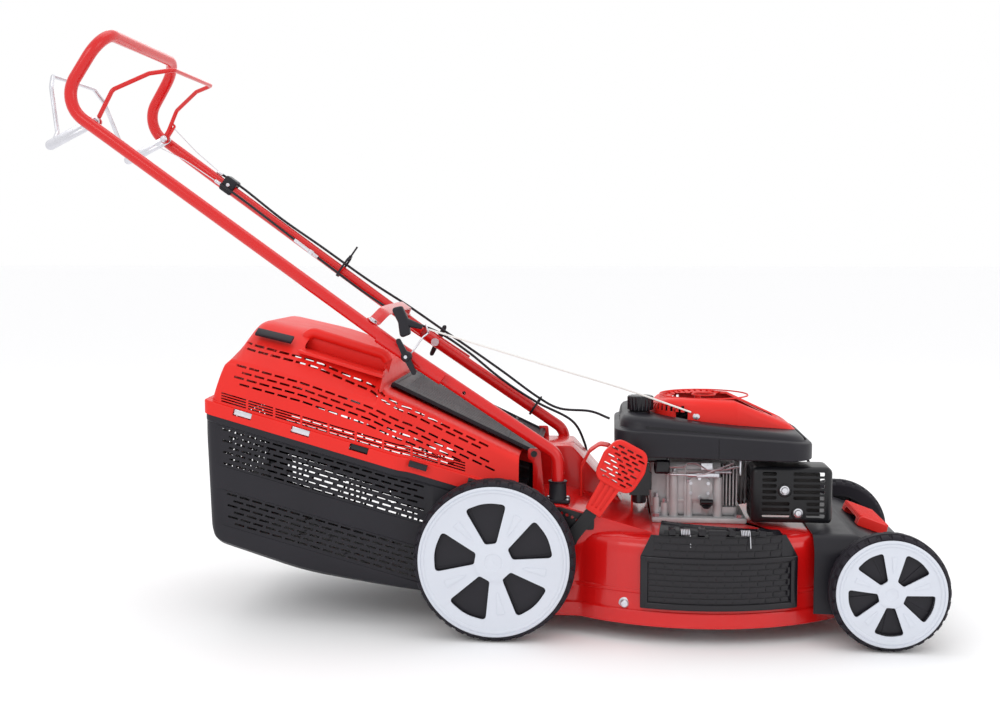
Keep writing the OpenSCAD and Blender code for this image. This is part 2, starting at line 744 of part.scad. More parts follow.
fold_slope = [-0.814, 0.581];
overlap_y = 183.7;
upper_start = fold_pivot + fold_slope * 36;
upper_half = rounded([
    [upper_start.x, overlap_y + tube_r - 10.5, upper_start.y],
    [-772, 200, 929],
    [-695, 190, 1053],
    [-695, 0, 1053]
], 55, 7);
brace_at = [-222.2, 543.2];
module upper_handle() color(red) difference() {
    union() {
        swept(both_sides(upper_half), tube_r, 16, tube_wall);
        // each end is pressed half round and lies on the outside of the lower tube
        each_side() intersection() {
            bar([-94, overlap_y, 443], [-94 - 0.836 * 140, overlap_y, 443 + 0.549 * 140], 12.5, 48);
            box([-230, overlap_y, 380], [-80, overlap_y + 14, 560]);
        }
        translate([brace_at.x, -188, brace_at.y]) rotate([0, 35.5, 0])
            translate([-11, 0, 0]) cube([22, 376, 3]);
    }
    pin_y(fold_pivot, 170, 210, bolt_r + running, 32);
    pin_y(fold_pivot, -210, -170, bolt_r + running, 32);
}

grip_y = -191;
guide_loop = [-123, grip_y, 533];
module wire_ring(r) rotate_extrude() translate([r, 0]) circle(1.5, $fn = 16);
module rope_guide() color(zinc) {
    translate([fold_pivot.x, -198.2, fold_pivot.y]) rotate([90, 0, 0]) wire_ring(6.5);
    swept(rounded([
        [-152.5, -198.2, 488.5], [-145, -198.2, 497], [-130, -193, 519], [-121, grip_y, 525.6]
    ], 8, 3), 1.5, 8);
    translate(guide_loop) rotate([0, 72, 13]) wire_ring(7.5);
}

module wing_nut(side) color(black) difference() {
    union() {
        pin_y(fold_pivot, side * 200.3, side * 210, 10);
        strap(fold_pivot + [-15, 31], fold_pivot + [-4, 6], 5, side * 202, side * 208);
        strap(fold_pivot + [15, -31], fold_pivot + [4, -6], 5, side * 202, side * 208);
    }
    pin_y(fold_pivot, side * 195, side * 220, bolt_r + running, 32);
}
module wing_nut_right() wing_nut(-1);
module wing_nut_left() wing_nut(1);

module bail_pins() color(zinc) each_side() {
    pin_y(bail_pivot, 164, 190, pin_r, 32);
    pin_y(bail_pivot, 161, 164, 7, 32);
}

blade_bail_half = rounded([
    [-714, 172, 906], [-690, 166, 955], [-636, 130, 988], [-598, 108, 997], [-598, 0, 997]
], 12, 3);
bail_tab = [-701, 924];
module blade_bail() color(red) difference() {
    union() {
        swept(both_sides(blade_bail_half), wire_r, 12);
        each_side() pin_y(bail_pivot, 169.5, 174.5, 9);
        strap(bail_pivot, bail_tab, 12, 170, 174);
    }
    pin_y(bail_pivot, -180, 180, pin_r + running, 32);
    pin_y(bail_tab, 160, 180, 2, 24);
}

drive_tip = [-800, 857];
drive_bail_half = rounded([
    [-796, 181.5, 859], [-801, 150, 882], [-824, 120, 968], [-bail_reach, 92, 991], [-bail_reach, 0, 991]
], 12, 3);
module drive_bail() color(zinc) difference() {
    union() {
        swept(both_sides(drive_bail_half), wire_r, 12);
        each_side() strap(bail_pivot, drive_tip, 18, 180, 184);
    }
    pin_y(bail_pivot, -190, 190, pin_r + running, 32);
    pin_y([-741, 886], 170, 190, 2, 24);
}

clip_at = [-592, 801];
module cable_clip() color(black) difference() {
    translate([clip_at.x, 194, clip_at.y]) rotate([0, 35.5, 0])
        translate([-14, -15, -6]) cube([28, 30, 24]);
    swept(both_sides(upper_half), tube_r + 0.1, 16);
}

rope_at_engine = [341, -101, 380];
module starter_grip() color(black) {
    bar([-131, grip_y, 535.5], [-158, grip_y, 544], 8, 32);
    intersection() {
        translate([-146, grip_y - 8, 549]) rotate([-90, 0, 0]) cylinder(h = 16, r = 38);
        translate([-167, grip_y, 546]) rotate([0, -17, 0]) cube([24, 18, 56], center = true);
    }
}
module starter_rope() color(rope_white)
    swept([
        rope_at_engine, [230, -127, 421], [110, -149, 459], [0, -169, 494], [-121, grip_y, 532.4]
    ], 1.5, 8);

module starter_pulley() color(black) difference() {
    translate([crank_x, 0, 374]) cylinder(h = 10, r = 30);
    translate([crank_x, 0, 373]) cylinder(h = 12, r = 6 + running);
}

// One cable stops the blade, one works the drive. Both are clipped along the left tube.
blade_cable = [
    [-604, 194, 826], [-560, 194, 797], [-480, 190, 735], [-400, 188, 680], [-300, 186, 610],
    [-215, 184, 556], [-150, 181, 512], [-90, 177, 472], [-20, 172, 424], [50, 168, 374],
    [96, 158, 352], [157, 135, 350], [196, 118, 338]
];
drive_cable = [
    [-604, 176, 806], [-560, 174, 776], [-480, 172, 716], [-400, 170, 655], [-300, 166, 582],
    [-215, 152, 532], [-150, 152, 505], [-90, 152, 466], [-20, 151, 410], [50, 150, 365],
    [120, 143, 330], [146, 146, 285], [154, 150, 245], [168, 150, 222], [180, 150, 206],
    [183, 150, 190]
];
module control_cables() color(black) {
    swept(rounded(blade_cable, 30, 3), 2.5, 8);
    swept(rounded(drive_cable, 30, 3), 2.5, 8);
}

/* ---- catcher and flaps ---- */

seam = [[-512, 385], [30, 232]];
base_side = [
    seam[0], [-511, 160], [-497, 145], [-345, 95], [-200, 72], [-110, 62], [-92, 78],
    [-80, 188], [30, 196], seam[1]
];
wall = catcher_wall;
base_hollow = [
    seam[0] + [wall, 20], [-511 + wall, 161], [-496 + wall, 145 + wall],
    [-344, 95 + wall], [-199, 72 + wall],
    [-111 - wall, 62 + wall], [-92 - wall, 79], [-80 - wall, 188 + wall], [35, 196 + wall], [35, 250]
];
top_side = [
    seam[0], [-516, 388], [-516, 412], [-503, 417], [-484, 470], [-457, 524], [-438, 543],
    [-293, 511], [-207, 468], [-203, 427], [-60, 359.5], [38, 313], [38, 280], [30, 270], seam[1]
];
top_hollow = [
    seam[0] + [wall, -20], [-516 + wall, 410], [-502 + wall, 415], [-482 + wall, 469], [-456 + wall, 521],
    [-437 + wall, 540 - wall], [-293, 511 - wall], [-209, 468 - wall],
    [-206, 427 - wall], [-60, 359.5 - wall],
    [35, 313 - wall], [45, 300], [45, 200]
];
module catcher_plan(inset) polygon([for (side = [-1, 1]) each
    side < 0 ?
        [[-520 + inset, -200], [-490, -228 + inset], [-166, -229 + inset],
         [-150, -214 + inset], [60, -214 + inset]] :
        [[60, 214 - inset], [-150, 214 - inset], [-166, 229 - inset],
         [-490, 228 - inset], [-520 + inset, 200]]
]);
module catcher_section(inset) rotate([90, 0, 90]) linear_extrude(640) polygon([
    [-195 + inset, 40], [-229 + inset, 385], [-229 + inset, 412], [-205 + inset, 500], [-150 + inset, 560],
    [150 - inset, 560], [205 - inset, 500], [229 - inset, 412], [229 - inset, 385], [195 - inset, 40]
]);
module catcher_body(outline, inset) intersection() {
    side_plate(outline, -235, 235);
    translate([0, 0, 30]) linear_extrude(540) catcher_plan(inset);
    translate([-560, 0, 0]) catcher_section(inset);
}
module catcher_base() color(black) difference() {
    catcher_body(base_side, 0);
    catcher_body(base_hollow, wall);
}
module catcher_top() color(red_plastic) difference() {
    catcher_body(top_side, 0);
    catcher_body(top_hollow, wall);
    // hand hole of the carry handle
    translate([-275, -150, 480]) rotate([0, 12.5, 0]) cube([150, 40, 60], center = true);
}

module rear_flap() color(black) difference() {
    union() {
        pin_y(flap_hinge, -144, 144, 6);
        translate([flap_hinge.x, -142, flap_hinge.y]) rotate([0, flap_slope, 0])
            translate([-flap_l, 0, -2]) cube([flap_l - 4.5, 284, 4]);
    }
    pin_y(flap_hinge, -150, 150, bolt_r + running, 32);
}

module side_flap() color(black) difference() {
    union() {
        chute_arc(bulge_r + 4, bulge_r + 7, 250, 518, 62, 190);
        box([362, side_hinge.x - 1, 186], [392, -259, 198]);
        translate([362, side_hinge.x, side_hinge.y]) rotate([0, 90, 0])
            cylinder(h = 30, r = 4.5, $fn = 32);
    }
    translate([357, side_hinge.x, side_hinge.y]) rotate([0, 90, 0])
        cylinder(h = 40, r = bolt_r + running, $fn = 32);
}

place() deck_shell();
place() front_apron();
place() front_carry_handle();
place() rear_carry_handle();
place() handle_sockets();
place() lower_handles();
place() bolts();
place() height_quadrant();
place() discharge_bracket();
place() hinge_hardware();
place() crankcase();
place() cylinder_block();
place() piston();
place() muffler();
place() muffler_guard();
place() spark_plug();
place() carburettor();
place() air_filter_box();
place() engine_shroud();
place() recoil_cover();
place() fuel_tank();
place() drive_belt();
place() control_cables();
place() starter_rope();
place() rear_axle_carrier();
place() gearbox();
place() height_lever_arm();
place() height_lever_grip();
place() drive_shaft();
place() gearbox_pulley();
place() front_axle_carrier();
place() height_link();
place() wheel_rear_right();
place() wheel_rear_left();
place() wheel_front_right();
place() wheel_front_left();
place() hubcap_rear_right();
place() hubcap_rear_left();
place() hubcap_front_right();
place() hubcap_front_left();
place() crankshaft();
place() flywheel();
place() blade_adapter();
place() blade();
place() upper_handle();
place() rope_guide();
place() cable_clip();
place() bail_pins();
place() blade_bail();
place() drive_bail();
place() starter_grip();
place() wing_nut_right();
place() wing_nut_left();
place() catcher_top();
place() catcher_base();
place() rear_flap();
place() side_flap();
place() fuel_cap();
place() oil_dipstick();
place() starter_pulley();
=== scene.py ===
"""Push lawn mower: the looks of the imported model.

Shapes are drawn in millimetres in a mower frame: X forward from the rear axle,
Y to the mower's left, Z up from the ground. add() turns them into the row frame.
"""
import math

import bmesh
import bpy
from mathutils import Matrix, Vector


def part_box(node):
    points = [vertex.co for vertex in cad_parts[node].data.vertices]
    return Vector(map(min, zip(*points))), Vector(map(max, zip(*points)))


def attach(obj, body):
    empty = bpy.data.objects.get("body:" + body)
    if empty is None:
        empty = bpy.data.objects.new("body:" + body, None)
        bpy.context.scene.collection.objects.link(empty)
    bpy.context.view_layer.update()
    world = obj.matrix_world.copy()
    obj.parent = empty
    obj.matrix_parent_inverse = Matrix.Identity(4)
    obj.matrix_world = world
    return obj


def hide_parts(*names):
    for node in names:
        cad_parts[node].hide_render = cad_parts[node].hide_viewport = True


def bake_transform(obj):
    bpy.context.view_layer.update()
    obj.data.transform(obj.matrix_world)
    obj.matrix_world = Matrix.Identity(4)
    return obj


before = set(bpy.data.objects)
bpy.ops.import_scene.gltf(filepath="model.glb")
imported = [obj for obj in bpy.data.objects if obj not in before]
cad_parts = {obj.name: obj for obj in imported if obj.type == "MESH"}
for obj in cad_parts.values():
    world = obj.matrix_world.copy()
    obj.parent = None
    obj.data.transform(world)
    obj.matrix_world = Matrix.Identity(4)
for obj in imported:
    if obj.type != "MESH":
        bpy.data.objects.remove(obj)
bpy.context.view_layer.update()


def node_size(node):
    low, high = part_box(node)
    return [(h - l) * 1000 for l, h in zip(low, high)]


def node_centre(node):
    low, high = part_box(node)
    return [(h + l) * 500 for l, h in zip(low, high)]


AXLE_X = node_centre("drive_shaft")[0]
REAR_R = node_size("wheel_rear_right")[0] / 2
FRONT_R = node_size("wheel_front_right")[0] / 2
WHEELBASE = node_centre("wheel_front_right")[0] - AXLE_X
TRACK = (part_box("hubcap_rear_left")[1][1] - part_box("hubcap_rear_right")[0][1]) * 1000
REAR_W = 50
FRONT_W = 45
CRANK_X = node_centre("flywheel")[0] - AXLE_X
TUBE_R = 11
WIRE_R = 4
FOLD = (-158, 485)
BAIL = (-718, 898)
SLOPE = 35.5                    # of the handle, in degrees
SIDES = ((-1, "right"), (1, "left"))
CABLE_HOLE = (182, 150)         # in the deck, for the drive cable
BOLT_X = (282, 428)             # of the engine's four foot bolts
BOLT_Y = 103


# ---- shapes ---------------------------------------------------------------

def unit(v):
    return Vector(v).normalized()


def turn(axis, degrees):
    return Matrix.Rotation(math.radians(degrees), 4, axis)


def shift(x, y, z):
    return Matrix.Translation((x, y, z))


def moved(shape, *matrices):
    """The shape with each matrix applied to it in turn."""
    for matrix in matrices:
        bmesh.ops.transform(shape, matrix=matrix, verts=shape.verts)
        if matrix.determinant() < 0:
            bmesh.ops.reverse_faces(shape, faces=shape.faces)
    return shape


def joined(*shapes):
    mesh = bpy.data.meshes.new("join")
    whole = bmesh.new()
    for shape in shapes:
        shape.to_mesh(mesh)
        whole.from_mesh(mesh)
        shape.free()
    bpy.data.meshes.remove(mesh)
    return whole


def mirrored(shape):
    """The shape and its mirror image on the mower's other side."""
    return joined(shape.copy(), moved(shape, Matrix.Scale(-1, 4, (0, 1, 0))))


def from_rings(rings, closed=False, caps=True):
    """A skin over rings of points. closed joins the last ring to the first."""
    shape = bmesh.new()
    rows = [[shape.verts.new(p) for p in ring] for ring in rings]
    count = len(rows)
    sides = len(rows[0])
    for i in range(count if closed else count - 1):
        near, far = rows[i], rows[(i + 1) % count]
        for k in range(sides):
            n = (k + 1) % sides
            shape.faces.new((near[k], near[n], far[n], far[k]))
    if caps and not closed:
        shape.faces.new(rows[0][::-1])
        shape.faces.new(rows[-1])
    bmesh.ops.recalc_face_normals(shape, faces=shape.faces)
    return shape


def sweep(points, r, sides=20, wall=0):
    """A round bar, or a tube if it has a wall, along a path."""
    points = [Vector(p) for p in points]
    across = None
    outer, inner = [], []
    for i, point in enumerate(points):
        along = (points[min(i + 1, len(points) - 1)] - points[max(i - 1, 0)]).normalized()
        if across is None:
            across = along.cross(Vector((0, 0, 1) if abs(along.z) < 0.9 else (1, 0, 0)))
        across = (across - along * across.dot(along)).normalized()
        other = along.cross(across)
        arms = [across * math.cos(a) + other * math.sin(a)
                for a in (2 * math.pi * k / sides for k in range(sides))]
        outer.append([point + arm * r for arm in arms])
        inner.append([point + arm * (r - wall) for arm in arms])
    if not wall:
        return from_rings(outer)
    return from_rings(outer + inner[::-1], closed=True)


def rounded(points, bend_r, steps=8):
    """The points of a path whose corners are rounded to bend_r."""
    points = [Vector(p) for p in points]
    out = [points[0]]
    for before, corner, after in zip(points, points[1:], points[2:]):
        a = (corner - before).normalized()
        b = (after - corner).normalized()
        angle = a.angle(b)
        inward = (b - a * a.dot(b)).normalized()
        centre = corner - a * bend_r * math.tan(angle / 2) + inward * bend_r
        for k in range(steps + 1):
            t = angle * k / steps
            out.append(centre + bend_r * (a * math.sin(t) - inward * math.cos(t)))
    return out + [points[-1]]


def both_sides(half):
    """A half path on the left, ending at the middle, joined to its mirror image."""
    half = [Vector(p) for p in half]
    return half + [Vector((p.x, -p.y, p.z)) for p in half[-2::-1]]


def smooth_path(points, per=8):
    """A smooth curve through the points."""
    points = [Vector(p) for p in points]
    ends = [2 * points[0] - points[1]] + points + [2 * points[-1] - points[-2]]
    out = []
    for a, b, c, d in zip(ends, ends[1:], ends[2:], ends[3:]):
        for k in range(per):
            t = k / per
            out.append(0.5 * (2 * b + (c - a) * t + (2 * a - 5 * b + 4 * c - d) * t ** 2
                              + (3 * b - a - 3 * c + d) * t ** 3))
    return out + [points[-1]]


def lathe(profile, steps=96, around=None):
    """A closed outline of (r, z) turned about Z. around(angle, r, z) may move each point."""
    rings = []
    for k in range(steps):
        a = 2 * math.pi * k / steps
        ring = [around(a, r, z) if around else (r, z) for r, z in profile]
        rings.append([(r * math.cos(a), r * math.sin(a), z) for r, z in ring])
    return from_rings(rings, closed=True)


def prism(outline, z0, z1):
    """An outline of (x, y) from z0 to z1."""
    return from_rings([[(x, y, z0) for x, y in outline], [(x, y, z1) for x, y in outline]])


def side_prism(outline, y0, y1):
    """A side-view outline of (x, z) from y0 to y1."""
    return from_rings([[(x, y0, z) for x, z in outline], [(x, y1, z) for x, z in outline]])


def block(low, high):
    (x0, y0, z0), (x1, y1, z1) = low, high
    return prism([(x0, y0), (x1, y0), (x1, y1), (x0, y1)], z0, z1)


def rod(p, q, r, sides=24):
    return sweep([p, q], r, sides)


def arc(cx, cy, r, start, end, steps=12):
    angles = [math.radians(start + (end - start) * k / steps) for k in range(steps + 1)]
    return [(cx + r * math.cos(a), cy + r * math.sin(a)) for a in angles]


def circle(cx, cy, r, steps):
    """A whole circle, as a closed outline."""
    return arc(cx, cy, r, 0, 360, steps)[:-1]


def rounded_outline(points, r, steps=5):
    """A closed outline whose corners are rounded. r is one radius or one for each corner."""
    count = len(points)
    radii = r if isinstance(r, (list, tuple)) else [r] * count
    out = []
    for i, corner in enumerate(points):
        here = Vector(corner)
        a = (Vector(points[i - 1]) - here)
        b = (Vector(points[(i + 1) % count]) - here)
        half = a.angle(b) / 2
        reach = min(radii[i] / math.tan(half), a.length * 0.48, b.length * 0.48)
        start = here + a.normalized() * reach
        end = here + b.normalized() * reach
        for k in range(steps + 1):
            t = k / steps
            out.append(tuple((1 - t) ** 2 * start + 2 * t * (1 - t) * here + t ** 2 * end))
    return out


def stadium(p, q, width, steps=8):
    """A bar between two points of a plane with rounded ends."""
    heading = math.degrees(math.atan2(q[1] - p[1], q[0] - p[0]))
    return (arc(*q, width / 2, heading - 90, heading + 90, steps)
            + arc(*p, width / 2, heading + 90, heading + 270, steps))


def temporary(shape):
    mesh = bpy.data.meshes.new("temporary")
    shape.to_mesh(mesh)
    shape.free()
    obj = bpy.data.objects.new("temporary", mesh)
    bpy.context.scene.collection.objects.link(obj)
    return obj


def evaluated(obj, *helpers):
    """The shape of an object with its modifiers applied. The objects are removed."""
    bpy.context.view_layer.update()
    depsgraph = bpy.context.evaluated_depsgraph_get()
    mesh = bpy.data.meshes.new_from_object(obj.evaluated_get(depsgraph))
    shape = bmesh.new()
    shape.from_mesh(mesh)
    bpy.data.meshes.remove(mesh)
    for used in (obj, *helpers):
        old = used.data
        bpy.data.objects.remove(used)
        bpy.data.meshes.remove(old)
    return shape


def combine(shape, other, operation):
    a, b = temporary(shape), temporary(other)
    modifier = a.modifiers.new("combine", "BOOLEAN")
    modifier.object = b
    modifier.operation = operation
    modifier.solver = "MANIFOLD"
    b.hide_set(True)
    return evaluated(a, b)


def cut(shape, *others):
    return combine(shape, joined(*others), "DIFFERENCE")


def overlap(shape, other):
    return combine(shape, other, "INTERSECT")


def unite(shape, *others):
    for other in others:
        shape = combine(shape, other, "UNION")
    return shape


def bevel(shape, width, segments=2, angle=30):
    obj = temporary(shape)
    modifier = obj.modifiers.new("bevel", "BEVEL")
    modifier.width = width
    modifier.segments = segments
    modifier.limit_method = "ANGLE"
    modifier.angle_limit = math.radians(angle)
    modifier.miter_outer = "MITER_ARC"
    return evaluated(obj)


def blend_between(low, high, x):
    """0 up to low, 1 from high, and a smooth ramp between them."""
    t = min(1, max(0, (x - low) / (high - low)))
    return t * t * (3 - 2 * t)


def along_table(table, x):
    """Straight-line lookup in a short list of (x, value) points."""
    if x <= table[0][0]:
        return table[0][1]
    for (x0, v0), (x1, v1) in zip(table, table[1:]):
        if x <= x1:
            return v0 + (v1 - v0) * (x - x0) / (x1 - x0)
    return table[-1][1]


def add(name, shape, body, look, replaces=(), crease=35):
    """Turns a shape in millimetres into a piece of the model that rides on a body."""
    moved(shape, shift(AXLE_X, 0, 0), Matrix.Scale(0.001, 4))
    bmesh.ops.recalc_face_normals(shape, faces=shape.faces)
    mesh = bpy.data.meshes.new(name)
    shape.to_mesh(mesh)
    shape.free()
    mesh.polygons.foreach_set("use_smooth", [True] * len(mesh.polygons))
    mesh.set_sharp_from_angle(angle=math.radians(crease))
    obj = bpy.data.objects.new(name, mesh)
    bpy.context.scene.collection.objects.link(obj)
    mesh.materials.append(LOOKS[look])
    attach(obj, body)
    if replaces:
        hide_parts(*replaces)
    return obj


# ---- materials ------------------------------------------------------------

def material(name, colour, rough, metal=0.0, coat=0.0, grain=400, bump=0.05, mottle=0.06,
             cloud=9, rough_spread=0.08, sheen=0.0, shine=0.5, rings=None):
    """A procedural finish: slow colour clouds, fine grain in the bump, uneven roughness."""
    made = bpy.data.materials.new(name)
    made.use_nodes = True
    nodes, links = made.node_tree.nodes, made.node_tree.links
    shader = nodes["Principled BSDF"]
    shader.inputs["Metallic"].default_value = metal
    shader.inputs["Coat Weight"].default_value = coat
    shader.inputs["Coat Roughness"].default_value = 0.08
    shader.inputs["Sheen Weight"].default_value = sheen
    shader.inputs["Specular IOR Level"].default_value = shine
    where = nodes.new("ShaderNodeTexCoord")

    def noise_at(scale, detail):
        texture = nodes.new("ShaderNodeTexNoise")
        texture.inputs["Scale"].default_value = scale
        texture.inputs["Detail"].default_value = detail
        links.new(where.outputs["Object"], texture.inputs["Vector"])
        return texture.outputs["Fac"]

    clouds = noise_at(cloud, 4)
    ramp = nodes.new("ShaderNodeValToRGB")
    for stop, place, factor in ((0, 0.3, 1 - mottle), (1, 0.7, 1 + mottle)):
        ramp.color_ramp.elements[stop].position = place
        ramp.color_ramp.elements[stop].color = [min(1, c * factor) for c in colour] + [1]
    links.new(clouds, ramp.inputs["Fac"])
    links.new(ramp.outputs["Color"], shader.inputs["Base Color"])

    spread = nodes.new("ShaderNodeMapRange")
    spread.inputs["To Min"].default_value = max(0.02, rough - rough_spread)
    spread.inputs["To Max"].default_value = rough + rough_spread
    links.new(noise_at(cloud * 4, 5), spread.inputs["Value"])
    links.new(spread.outputs["Result"], shader.inputs["Roughness"])

    fine = nodes.new("ShaderNodeBump")
    fine.inputs["Strength"].default_value = bump
    fine.inputs["Distance"].default_value = 0.0006
    links.new(noise_at(grain, 3), fine.inputs["Height"])
    normal = fine.outputs["Normal"]
    if rings:
        wave = nodes.new("ShaderNodeTexWave")
        wave.wave_type = "BANDS"
        wave.bands_direction = rings[0]
        wave.inputs["Scale"].default_value = rings[1]
        wave.inputs["Distortion"].default_value = rings[2]
        links.new(where.outputs["Object"], wave.inputs["Vector"])
        second = nodes.new("ShaderNodeBump")
        second.inputs["Strength"].default_value = rings[3]
        second.inputs["Distance"].default_value = 0.0005
        links.new(wave.outputs["Fac"], second.inputs["Height"])
        links.new(normal, second.inputs["Normal"])
        normal = second.outputs["Normal"]
    links.new(normal, shader.inputs["Normal"])
    return made


RED = (0.62, 0.006, 0.006)
LOOKS = {
    "enamel": material("enamel", RED, 0.24, coat=0.35, shine=0.35, grain=120, bump=0.02, mottle=0.03),
    "red_plastic": material("red_plastic", (0.74, 0.018, 0.012), 0.42, shine=0.3, bump=0.12, grain=900,
                            mottle=0.04),
    "black_plastic": material("black_plastic", (0.013, 0.012, 0.017), 0.42, shine=0.3, bump=0.15, grain=900,
                              mottle=0.1),
    "gloss_black": material("gloss_black", (0.006, 0.005, 0.008), 0.24, shine=0.35, coat=0.12, bump=0.08,
                            grain=700),
    "black_metal": material("black_metal", (0.008, 0.008, 0.010), 0.36, shine=0.35, bump=0.10, grain=500),
    "tyre": material("tyre", (0.014, 0.012, 0.018), 0.60, shine=0.25, bump=0.25, grain=500, mottle=0.14,
                     rough_spread=0.1),
    "cap": material("cap", (0.63, 0.66, 0.73), 0.34, bump=0.05, grain=800, mottle=0.02),
    "zinc": material("zinc", (0.66, 0.66, 0.70), 0.30, metal=1, bump=0.12, grain=260, mottle=0.10, cloud=40),
    "alloy": material("alloy", (0.52, 0.52, 0.53), 0.55, metal=0.2, bump=0.8, grain=420, mottle=0.10,
                      cloud=30),
    "steel": material("steel", (0.36, 0.36, 0.38), 0.40, metal=1, bump=0.2, grain=300, mottle=0.14, cloud=30,
                      rings=("X", 60, 2.0, 0.15)),
    # The muffler's near-black colour is painted shade: the dark of the shadow behind the muffler guard's
    # slots.
    "muffler_painted_shade": material("muffler_painted_shade", (0.035, 0.032, 0.032), 0.6, metal=0.4, bump=0.3),
    "belt": material("belt", (0.022, 0.021, 0.022), 0.75, bump=0.35, grain=600, mottle=0.15),
    "rope": material("rope", (0.83, 0.81, 0.78), 0.85, bump=0.2, grain=700, sheen=0.4,
                     rings=("DIAGONAL", 160, 0.5, 0.8)),
}


def dress(look, *nodes, width=0.0):
    """Gives CAD nodes a finish and, when a width is given, soft edges."""
    for node in nodes:
        obj = bpy.data.objects[node]
        for slot in obj.material_slots:
            slot.material = LOOKS[look]
        if not obj.material_slots:
            obj.data.materials.append(LOOKS[look])
        if width:
            modifier = obj.modifiers.new("soft_edges", "BEVEL")
            modifier.width = width * 0.001
            modifier.segments = 2
            modifier.limit_method = "ANGLE"
            modifier.angle_limit = math.radians(40)


# ---- camera, lights and floor ---------------------------------------------

def stage_object(name, shape, look):
    mesh = bpy.data.meshes.new(name)
    shape.to_mesh(mesh)
    shape.free()
    mesh.materials.append(look)
    obj = bpy.data.objects.new(name, mesh)
    bpy.context.scene.collection.objects.link(obj)
    return obj


floor_look = material("floor", (0.98, 0.98, 0.99), 0.9, bump=0.0, mottle=0.0)
stage_object("floor", prism([(-60, -60), (60, -60), (60, 60), (-60, 60)], -0.01, 0), floor_look)

world = bpy.data.worlds.new("studio")
bpy.context.scene.world = world
world.use_nodes = True
world.node_tree.nodes["Background"].inputs["Color"].default_value = (1, 1, 1, 1)
world.node_tree.nodes["Background"].inputs["Strength"].default_value = 1.0


def soft_light(name, place, size, power, target=(0, 0, 0.4)):
    data = bpy.data.lights.new(name, "AREA")
    data.shape = "RECTANGLE"
    data.size, data.size_y = size
    data.energy = power
    obj = bpy.data.objects.new(name, data)
    obj.location = place
    obj.rotation_euler = (Vector(target) - Vector(place)).to_track_quat("-Z", "Y").to_euler()
    bpy.context.scene.collection.objects.link(obj)


soft_light("key_light", (-1.6, -3.2, 2.8), (2.2, 1.4), 20)
soft_light("front_light", (3.0, -1.6, 1.8), (1.6, 1.6), 9)
soft_light("top_light", (0.0, 0.4, 3.6), (3.0, 2.0), 16)
soft_light("back_light", (-1.0, 3.2, 2.4), (2.4, 1.4), 10)

camera_data = bpy.data.cameras.new("camera")
camera_data.lens = 44.96
camera_data.sensor_width = 36
camera = bpy.data.objects.new("camera", camera_data)
camera.location = (AXLE_X / 1000 + 0.193, -2.351, 0.665)
CAMERA_AZIMUTH = math.radians(4.98)
CAMERA_TILT = math.radians(4.46)
aim = Vector((-math.sin(CAMERA_AZIMUTH) * math.cos(CAMERA_TILT),
              math.cos(CAMERA_AZIMUTH) * math.cos(CAMERA_TILT), -math.sin(CAMERA_TILT)))
camera.rotation_euler = aim.to_track_quat("-Z", "Y").to_euler()
bpy.context.scene.collection.objects.link(camera)
bpy.context.scene.camera = camera
bpy.context.scene.view_settings.view_transform = "Standard"


# ---- handle and controls --------------------------------------------------

lower_path = rounded([(105, 160, 231.2), (105, 160, 309), (-178, 172, 498)], 32, 12)
for side, word in SIDES:
    path = [(p.x, side * p.y, p.z) for p in lower_path]
    tube = sweep(path, TUBE_R, 32, 1.5)
    if side < 0:
        tube = cut(tube, rod((-60, -190, 419.2), (-60, -140, 419.2), 3.3, 16))
    add("lower_tube_" + word, tube, "chassis", "enamel", ["lower_handles"] if side < 0 else [])
    end = Vector(path[-1])
    along = unit(end - Vector(path[-2]))
    plug = joined(rod(end - along * 6, end + along * 1.5, 9.3), rod(end, end + along * 2, TUBE_R - 0.3))
    add("tube_plug_" + word, bevel(plug, 0.6), "chassis", "black_plastic")

# The upper handle's ends are pressed half round where they meet the lower tubes
PADDLE_Y = 183.7
start = Vector((FOLD[0], 0, FOLD[1])) + Vector((-0.814, 0, 0.581)) * 36
upper_half = rounded([(start.x, PADDLE_Y + 0.5, start.z), (-772, 200, 929), (-695, 190, 1053),
                      (-695, 0, 1053)], 55, 14)
tube = sweep(both_sides(upper_half), TUBE_R, 32)
paddle_low, paddle_high = Vector((-96, PADDLE_Y, 444.5)), Vector((-211, PADDLE_Y, 520))
paddle = overlap(rod(paddle_low, paddle_high, 12.5, 40),
                 block((-230, PADDLE_Y, 380), (-80, PADDLE_Y + 14, 560)))
paddle = bevel(paddle, 1.5, 3)
bolt_way = side_prism(circle(*FOLD, 3.1, 20), 170, 205)
upper = unite(tube, mirrored(cut(paddle, bolt_way)))
add("upper_handle_tube", upper, "upper_handle", "enamel", ["upper_handle"])

# A flat cross brace, arched in the middle and bolted down to both tubes
brace_line = smooth_path([(188, 0), (172, 0), (158, 1), (142, 11), (124, 19), (100, 21), (50, 22),
                          (0, 22)], 5)
brace_line = brace_line + [(-y, z) for y, z, *_ in brace_line[-2::-1]]
brace_ring = [(p[0], p[1]) for p in brace_line]
section = brace_ring + [(y, z + 3) for y, z in brace_ring[::-1]]
brace = from_rings([[(-11, y, z) for y, z in section], [(11, y, z) for y, z in section]])
lie = [turn("Y", SLOPE), shift(-222.2, 0, 543.2)]
add("cross_brace", moved(bevel(brace, 0.7), *lie), "upper_handle", "enamel")
brace_bolt = bevel(joined(prism(circle(0, 184, 6.5, 6), 3, 7.5),
                          prism(circle(0, 184, 8.5, 28), 2.6, 4)), 0.4)
add("brace_bolts", moved(mirrored(brace_bolt), *lie), "upper_handle", "zinc")

